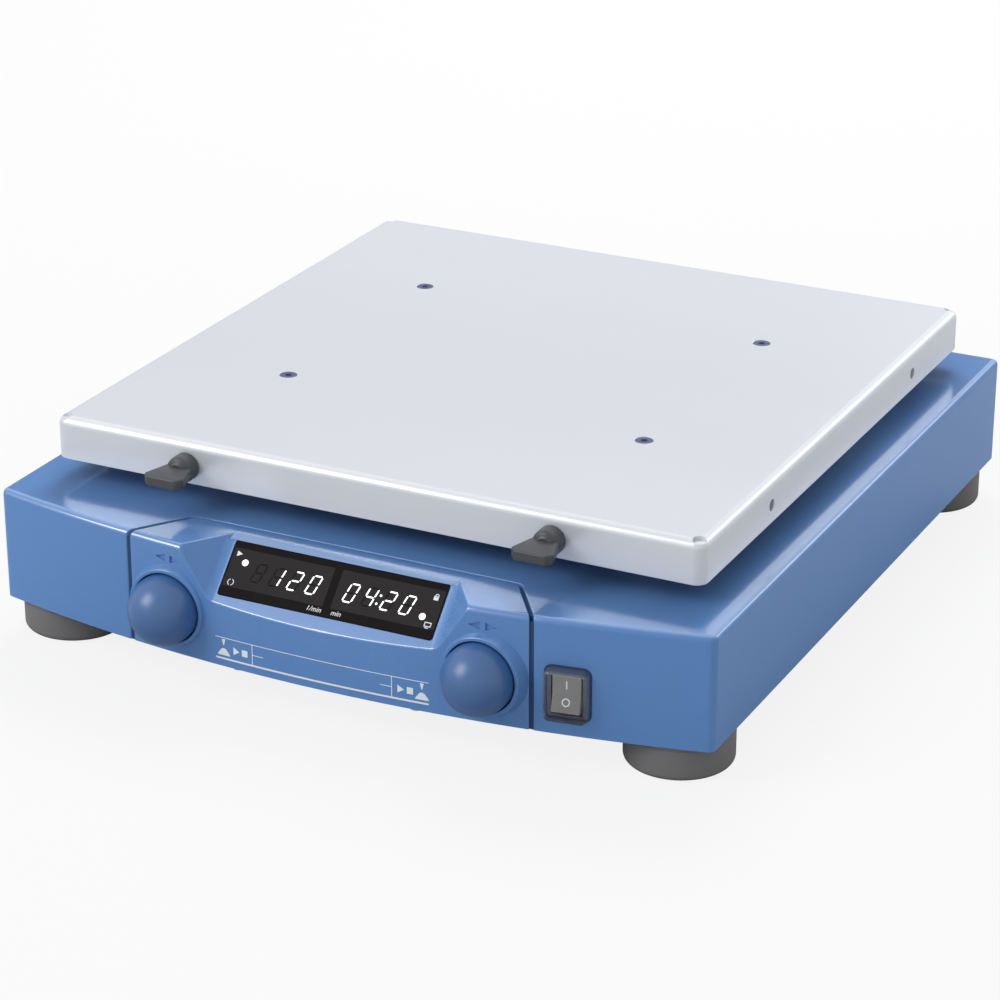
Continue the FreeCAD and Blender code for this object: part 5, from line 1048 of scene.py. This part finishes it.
@dataclass
class PanelPrint:
    """The white print on the lower part of the panel, laid on its bow."""

    high: float = 31.3
    low: float = 21.0
    ends: Point = (-54.7, 52.9)
    divider: float = 35.2
    push_x: float = 50.05
    push_shift: float = -0.35
    run_x: float = 41.6
    shift: float = 1.0
    ink: float = 0.08

    def inked(self, corners: Sequence[Point]) -> Form:
        """Make a flat patch of ink."""
        return Form.prism(corners, 0.0, self.ink)

    def line(self, left: float, right: float, height: float, width: float) -> Form:
        """Make a level line, in short pieces that follow the bow."""
        return self.inked(rectangle(right - left, width, (left + right) / 2, height)).sliced(4.0)

    def pictures(self, side: int) -> list[Form]:
        """Make the small pictures of one side: a pressed knob, run and halt.

        Args:
            side: -1 for the left ones, 1 for the right ones.

        Returns:
            Dome, dart, triangle and square.
        """
        x = side * self.push_x + self.push_shift
        dome = [(x - 3.4, 22.6), (x + 3.4, 22.6), (x + 2.7, 23.9),
                *[(x + px, 24.0 + py) for px, py in arc((0, 0), 2.1, 20, 160, 8)], (x - 2.7, 23.9)]
        dart = [(x - 0.9, 30.6), (x - 0.2, 27.6), (x + 0.2, 27.6), (x + 0.9, 30.6)]
        x = side * self.run_x
        run = [(x - 3.6, 24.0), (x - 0.4, 25.9), (x - 3.6, 27.8)]
        halt = rectangle(3.0, 3.2, x + 2.4, 25.9)
        return [self.inked(corners) for corners in (dome, dart, run, halt)]

    def build(self) -> None:
        """Build the print."""
        form = Form().with_loose(self.line(*self.ends, self.high, 0.3),
                                 self.line(*self.ends, self.low, 0.85))
        for side in SIDES:
            x = side * self.divider
            upright = rectangle(0.35, self.high - self.low, x, (self.high + self.low) / 2)
            form.with_loose(self.inked(upright), self.line(*sorted((x, side * 29.4)), 26.2, 0.3),
                            *self.pictures(side))
        form.moved(self.shift).on_bow().finish("panel_print", "panel", finish=PRINT)


@dataclass
class Knob:
    """A dome knob that is turned and pressed: a thin shell with a hub for its shaft."""

    name: str
    side: int
    body: Body
    radius: float = 16.3
    shell: float = 2.0
    reach: float = 16.9
    rear: float = -5.7
    bore: float = 11.8
    bore_radius: float = 3.03
    hub: float = 5.5

    def build(self) -> None:
        """Build the knob."""
        r, inside, middle = self.radius, self.radius - self.shell, self.reach - self.radius
        hub_top = middle + math.sqrt(inside ** 2 - self.hub ** 2)
        start = math.degrees(math.asin(self.hub / inside))
        outer = [(0.0, self.reach)] + arc((0, middle), r, 84, 0, 14)
        inner = arc((0, middle), inside, 0, 90 - start, 8)
        profile = [*outer, (r, self.rear + 0.5), (r - 0.5, self.rear), (inside, self.rear), *inner[:-1],
                   (self.hub, hub_top), (self.hub, self.rear + 1), (self.bore_radius, self.rear + 1),
                   (self.bore_radius, self.bore), (0.0, self.bore)]
        dome = Form.lathe(profile, 96).placed(FrontPanel().knob_spot(self.side))
        dome.finish(self.name + "_dome", "knob", self.name, body=self.body)


@dataclass
class PowerSwitch:
    """The rocker switch: frame, rocker with its two marks, the clear cover, and a dark ring of painted
    shade round the cover.
    """

    bezel: Triple = (17.9, 22.3, 1.6)
    case: Triple = (16.2, 20.8, 16.0)
    well: Triple = (14.2, 19.4, 9.0)
    cover: Triple = (20.0, 24.4, 6.2)
    cover_wall: float = 0.8
    gap_shade_lip: float = 1.4
    key: Point = (6.5, 8.5)
    crown: float = 3.2
    dish: float = 1.4
    pivot: float = 1.0
    tilt: float = 9.0

    UPRIGHT = Matrix(((0, 0, -1, 0), (0, 1, 0, 0), (1, 0, 0, 0), (0, 0, 0, 1)))

    @staticmethod
    def spot() -> Matrix:
        """Give the switch's frame: x across, y up, z out of the bowed face."""
        return on_face(117.3, 37.2)

    def leaning(self) -> Matrix:
        """Give the rocker's own frame, which leans about its pivot: x out, y up."""
        shift = Matrix.Translation((self.pivot, 0, 0))
        return self.UPRIGHT @ shift.inverted() @ Matrix.Rotation(math.radians(self.tilt), 4, "Z") @ shift

    def rocker(self) -> Form:
        """Make the rocker, its upper end pressed in."""
        across, half = self.key
        side = [(self.crown, half), (-2.0, half), (-7.0, 2.4), (-7.0, -2.4), (-2.0, -half),
                (self.crown, -half), (self.crown - self.dish, 0.0)]
        return Form.prism(side, -across, across).soften(0.6, 3).placed(self.leaning())

    def marks(self) -> Form:
        """Make the on and off marks that lie on the rocker's two faces.

        Returns:
            Both marks, in the switch's frame.
        """
        half = self.key[1]
        on_mark = Form.block(0.6, 3.9, -0.3, 0.08, corner=0.15, steps=2)
        off_mark = Form.lathe([(1.3, -0.3), (1.9, -0.3), (1.9, 0.08), (1.3, 0.08)], 40)
        marks = Form()
        for mark, y in ((on_mark, 4.2), (off_mark, -3.6)):
            out = self.crown - self.dish * (1 - abs(y) / half)
            slope = math.copysign(math.atan(self.dish / half), -y)
            place = Matrix.Translation((out, y, 0)) @ Matrix.Rotation(slope, 4, "Z")
            marks.with_loose(mark.placed(self.leaning() @ place @ self.UPRIGHT.inverted()))
        return marks

    def build(self) -> None:
        """Build the switch."""
        spot = self.spot()
        width, height, thick = self.bezel
        frame_form = Form.block(width, height, 0.0, thick, corner=1.5).soften(0.4, 3, lambda m: m.z > 1)
        frame_form.joined(Form.block(*self.case[:2], -self.case[2], 0.3))
        frame_form.cut(Form.block(*self.well[:2], -self.well[2], 2.5)).placed(spot)
        frame_form.finish("switch_bezel", "black", "switch_frame", finish=FRAME_PLASTIC)
        self.rocker().placed(spot).finish("rocker_key", "rocker", "switch_rocker", body=Body.ROCKER)
        self.marks().placed(spot).finish("rocker_marks", "rocker", body=Body.ROCKER, finish=PRINT)
        width, height, reach = self.cover
        # A flat dark ring round the cover's foot: painted shade for the gap round the cover
        lip = self.gap_shade_lip
        gap_shade = Form.block(width + lip, height + lip, -0.3, 0.14, corner=3.7)
        gap_shade.cut(Form.block(width - lip, height - lip, -1.0, 1.0, corner=2.3))
        gap_shade.placed(spot).finish("switch_gap_shade", "black", finish=GAP_SHADE_RING)
        cover = Form.block(width, height, 0.15, reach, corner=3.0)
        cover.soften(2.0, 5, lambda m: m.z > reach - 0.1)
        wall = self.cover_wall
        inner = Form.block(width - 2 * wall, height - 2 * wall, -1.0, reach - wall, corner=2.2)
        cover.cut(inner.soften(1.4, 4, lambda m: m.z > reach - 1))
        cover.placed(spot).finish("clear_switch_cover", "clear", "switch_cover")


@dataclass
class Feet:
    """The four rubber feet."""

    across: float = 155.3
    front: float = -144.7
    rear: float = 177.7

    def build(self) -> None:
        """Build the feet."""
        profile = [(2.1, 9.0), (8.0, 9.0), (8.0, 0.5), (8.5, 0.0), *arc((21.7, 3.0), 3.0, -90, 0, 8),
                   (24.7, 14.6), (24.45, 14.9), (24.7, 15.2), (24.7, 16.6), (24.2, 17.1), (2.1, 17.1)]
        for end, y in (("front", self.front), ("rear", self.rear)):
            for hand, side in zip(("left", "right"), SIDES):
                foot = Form.lathe(profile, 80).moved(side * self.across, y)
                foot.finish(f"rubber_foot_{end}_{hand}", "rubber", f"foot_{end}_{hand}")


@dataclass
class Tray:
    """The bent sheet-metal tray with its folded corners and its screws."""

    size: Point = (327.4, 326.5)
    middle: float = 20.65
    low: float = 81.7
    top: float = 102.2
    sheet: float = 2.0
    bend: float = 4.3
    corner: float = 5.6
    notch: float = 3.7
    notch_radius: float = 3.1
    notch_depth: float = 1.7
    front: float = -142.6
    side_holes: Point = (-65.95, 115.65)

    SINK = ((0, 98.0), (2.6, 98.0), (2.6, 100.2), (4.7, 102.2), (4.7, 103.5), (0, 103.5))
    SCREW = ((0, 101.95), (4.2, 101.95), (4.45, 101.75), (4.5, 101.5), (2.5, 99.8), (2.5, 86.2),
             (0, 86.2))

    def build(self) -> None:
        """Build the tray and its screws."""
        width, depth = self.size
        form = Form.block(width, depth, self.low, self.top, 0.0, self.middle, self.corner, 8)
        form.soften(self.bend, 6, lambda m: m.z > self.top - 0.1)
        inner = Form.block(width - 2 * self.sheet, depth - 2 * self.sheet, self.low - 2,
                           self.top - self.sheet, 0.0, self.middle, self.corner - self.sheet, 6)
        inner.soften(self.bend - self.sheet, 4, lambda m: m.z > self.top - self.sheet - 0.1)
        form.cut(inner)
        notch = self.notch_radius, self.top - self.notch_depth, self.top + 1
        a, b = width / 2 - self.notch, depth / 2 - self.notch
        form.cut(*(Form.rod(*notch, x, self.middle + y) for x in (-a, a) for y in (-b, b)))
        across = facing((0, 0, HOLE_HEIGHT), (0, 1, 0), (0, 0, 1))
        form.cut(*(Form.rod(HOLE_RADIUS, -200, 200, y, steps=40).placed(across)
                   for y in self.side_holes))
        forwards = ahead(0, self.front, HOLE_HEIGHT)
        form.cut(*(Form.rod(HOLE_RADIUS, -6, 6, side * THUMB_SCREW_X, steps=40).placed(forwards)
                   for side in SIDES))
        form.cut(*(Form.lathe(self.SINK, 48).moved(x, y) for x, y in POSTS))
        form.soften(0.3, 2, lambda m: m.z < self.low + 0.1 or abs(m.z - HOLE_HEIGHT) < 3, over=50.0)
        form.finish("tray_sheet", "tray", "tray", body=Body.CARRIAGE)
        self.screws()

    def screws(self) -> None:
        """Build the countersunk screws."""
        form = Form()
        for x, y in POSTS:
            screw = Form.lathe(self.SCREW, 40).cut(Form.rod(1.75, 100.6, 103, steps=6))
            form.with_loose(screw.moved(x, y))
        form.finish("tray_screw_heads", "steel", "tray_screws", body=Body.CARRIAGE, finish=SCREW_ZINC)


@dataclass
class ThumbScrew:
    """A thumb screw in the tray's front flange: round hub and flat flared blade."""

    name: str
    side: int
    body: Body
    blade: float = 5.0
    front: float = -142.9

    OUTLINE = ((5.3, 3.0), (10.2, 19.8), (7.4, 23.0), (-7.4, 23.0), (-10.2, 19.8), (-5.3, 3.0))
    STANDING = Matrix(((1, 0, 0, 0), (0, 0, 1, 0), (0, 1, 0, 0), (0, 0, 0, 1)))

    def build(self) -> None:
        """Build the grip."""
        hub = Form.lathe([(0, 0), (6.3, 0), (6.6, 0.3), (6.6, 4.6), *arc((3.9, 5.6), 2.7, 20, 80, 5),
                          (3.6, 9.0), (0, 9.0)], 56)
        blade = Form.prism(self.OUTLINE, -self.blade / 2, self.blade / 2)
        blade.placed(self.STANDING).outwards().soften(0.9, 3, lambda m: m.z > 3.5)
        hub.joined(blade).cut(Form.rod(HOLE_RADIUS, -1, 8))
        hub.placed(ahead(self.side * THUMB_SCREW_X, self.front, HOLE_HEIGHT))
        hub.finish(self.name + "_grip", "black", self.name, body=self.body)


def dress_frame() -> None:
    """Give every CAD node that still shows the finish of its slot."""
    slots = {row["node"]: row["material_slot"] for row in frame["record"]["subparts"]}
    for name, item in frame["nodes"].items():
        item.data.materials.clear()
        item.data.materials.append(FINISHES[slots[name]].material())
    LOG.info("dressed %d nodes of the frame", len(slots))


@dataclass
class Studio:
    """Floor, world, lamps and camera."""

    eye: Triple = (0.6549, -1.3235, 0.6705)
    target: Triple = (-0.0084, 0.009, 0.0311)
    lens: float = 118.87
    sky: float = 0.68
    floor_glow: float = 0.86

    WHITE = (1.0, 1.0, 1.0, 1.0)

    def world(self) -> None:
        """Light the scene softly from all round, before a background that is seen as white."""
        made = bpy.data.worlds.new("studio")
        bpy.context.scene.world = made
        recipe = Recipe(made)
        path = recipe.add("ShaderNodeLightPath")
        camera, glossy, clear = (recipe.wire(path, f"Is {kind} Ray")
                                 for kind in ("Camera", "Glossy", "Transmission"))
        strength = camera.greater(glossy).greater(clear) * (1.0 - self.sky) + self.sky
        light = recipe.add("ShaderNodeBackground", {"Color": self.WHITE, "Strength": strength})
        recipe.show(light, "ShaderNodeOutputWorld")

    def card(self, name: str, surface: str, half: Point, cells: int) -> tuple[bpy.types.Object, Recipe]:
        """Put a flat card on the stage.

        Args:
            name: its name.
            surface: its material's name.
            half: half its width and half its height.
            cells: how many cells it has each way.

        Returns:
            The card, and its material's empty recipe.
        """
        form = Form()
        bmesh.ops.create_grid(form.bm, x_segments=cells, y_segments=cells, size=1.0)
        bmesh.ops.scale(form.bm, vec=(*half, 1.0), verts=form.bm.verts)
        item = in_scene(name, form.mesh(name))
        made = bpy.data.materials.new(surface)
        item.data.materials.append(made)
        return item, Recipe(made)

    def floor(self) -> None:
        """Lay the pale floor, which keeps the shadow and melts into the background."""
        item, recipe = self.card("floor", "floor_paper", (6.0, 6.0), 8)
        item.location.z = -0.0002
        paper = recipe.add("ShaderNodeBsdfDiffuse", {"Color": (0.5, 0.5, 0.5, 1.0)})
        white = recipe.add("ShaderNodeEmission", {"Color": self.WHITE, "Strength": 1.0})
        camera_ray = recipe.wire(recipe.add("ShaderNodeLightPath"), "Is Camera Ray")
        recipe.show(recipe.add("ShaderNodeMixShader", {0: camera_ray * self.floor_glow,
                                                       1: recipe.wire(paper), 2: recipe.wire(white)}))

    def flag(self) -> None:
        """Stand a dark card behind, unseen itself: the lacquer on the roof reflects it."""
        item, recipe = self.card("flag", "flag_cloth", (0.95, 0.75), 4)
        item.location = (-1.25, 1.7, 0.72)
        item.rotation_euler = (math.radians(90), 0, math.radians(25))
        item.visible_camera = item.visible_diffuse = item.visible_shadow = False
        weave = recipe.noise(recipe.wire(recipe.add("ShaderNodeTexCoord"), "Object"), 3.0)
        shade = recipe.blend(weave, (0.07, 0.075, 0.09), (0.1, 0.105, 0.12))
        recipe.show(recipe.add("ShaderNodeEmission", {"Color": shade, "Strength": 1.0}))

    def aimed(self, item: bpy.types.Object, place: Sequence[float], aim: Sequence[float]) -> None:
        """Put a lamp or the camera in its place and turn it to a point."""
        item.location = place
        item.rotation_euler = (Vector(aim) - Vector(place)).to_track_quat("-Z", "Y").to_euler()

    def lamp(self, name: str, place: Sequence[float], size: Point, power: float,
             glints: bool = True) -> None:
        """Hang a soft lamp.

        Args:
            name: its name.
            place: where it hangs.
            size: its width and height.
            power: its power in watts.
            glints: whether glossy surfaces mirror it.
        """
        data = bpy.data.lights.new(name, "AREA")
        data.shape, data.size, data.size_y, data.energy = "RECTANGLE", size[0], size[1], power
        item = in_scene(name, data)
        item.visible_glossy = glints
        self.aimed(item, place, (0.0, 0.0, 0.05))

    def camera(self) -> None:
        """Stand the camera where the photograph was taken from."""
        data = bpy.data.cameras.new("view")
        data.sensor_width, data.lens = 36.0, self.lens
        data.clip_start, data.clip_end = 0.05, 50.0
        item = in_scene("view", data)
        self.aimed(item, self.eye, self.target)
        bpy.context.scene.camera = item

    def build(self) -> None:
        """Set the studio up."""
        self.world()
        self.floor()
        self.flag()
        self.lamp("key", (-1.3, -1.5, 1.5), (1.2, 1.2), 24.0)
        self.lamp("rear", (1.0, 1.7, 0.85), (0.7, 0.5), 4.0)
        self.lamp("top", (-0.35, 1.3, 1.5), (1.0, 0.8), 34.0, glints=False)
        self.camera()
        bpy.context.scene.view_settings.view_transform = "Standard"


def main() -> None:
    """Build every sub-assembly in order."""
    logging.basicConfig(level=logging.INFO, format="%(message)s")
    dress_frame()
    Studio().build()
    parts = [Housing(), FrontPanel(), Display(), PanelPrint(), Knob("speed_knob", -1, Body.SPEED_KNOB),
             Knob("timer_knob", 1, Body.TIMER_KNOB), PowerSwitch(), Feet(), Tray(),
             ThumbScrew("thumb_screw_left", -1, Body.THUMB_LEFT),
             ThumbScrew("thumb_screw_right", 1, Body.THUMB_RIGHT)]
    for part in parts:
        part.build()


if __name__ == "__main__":
    main()
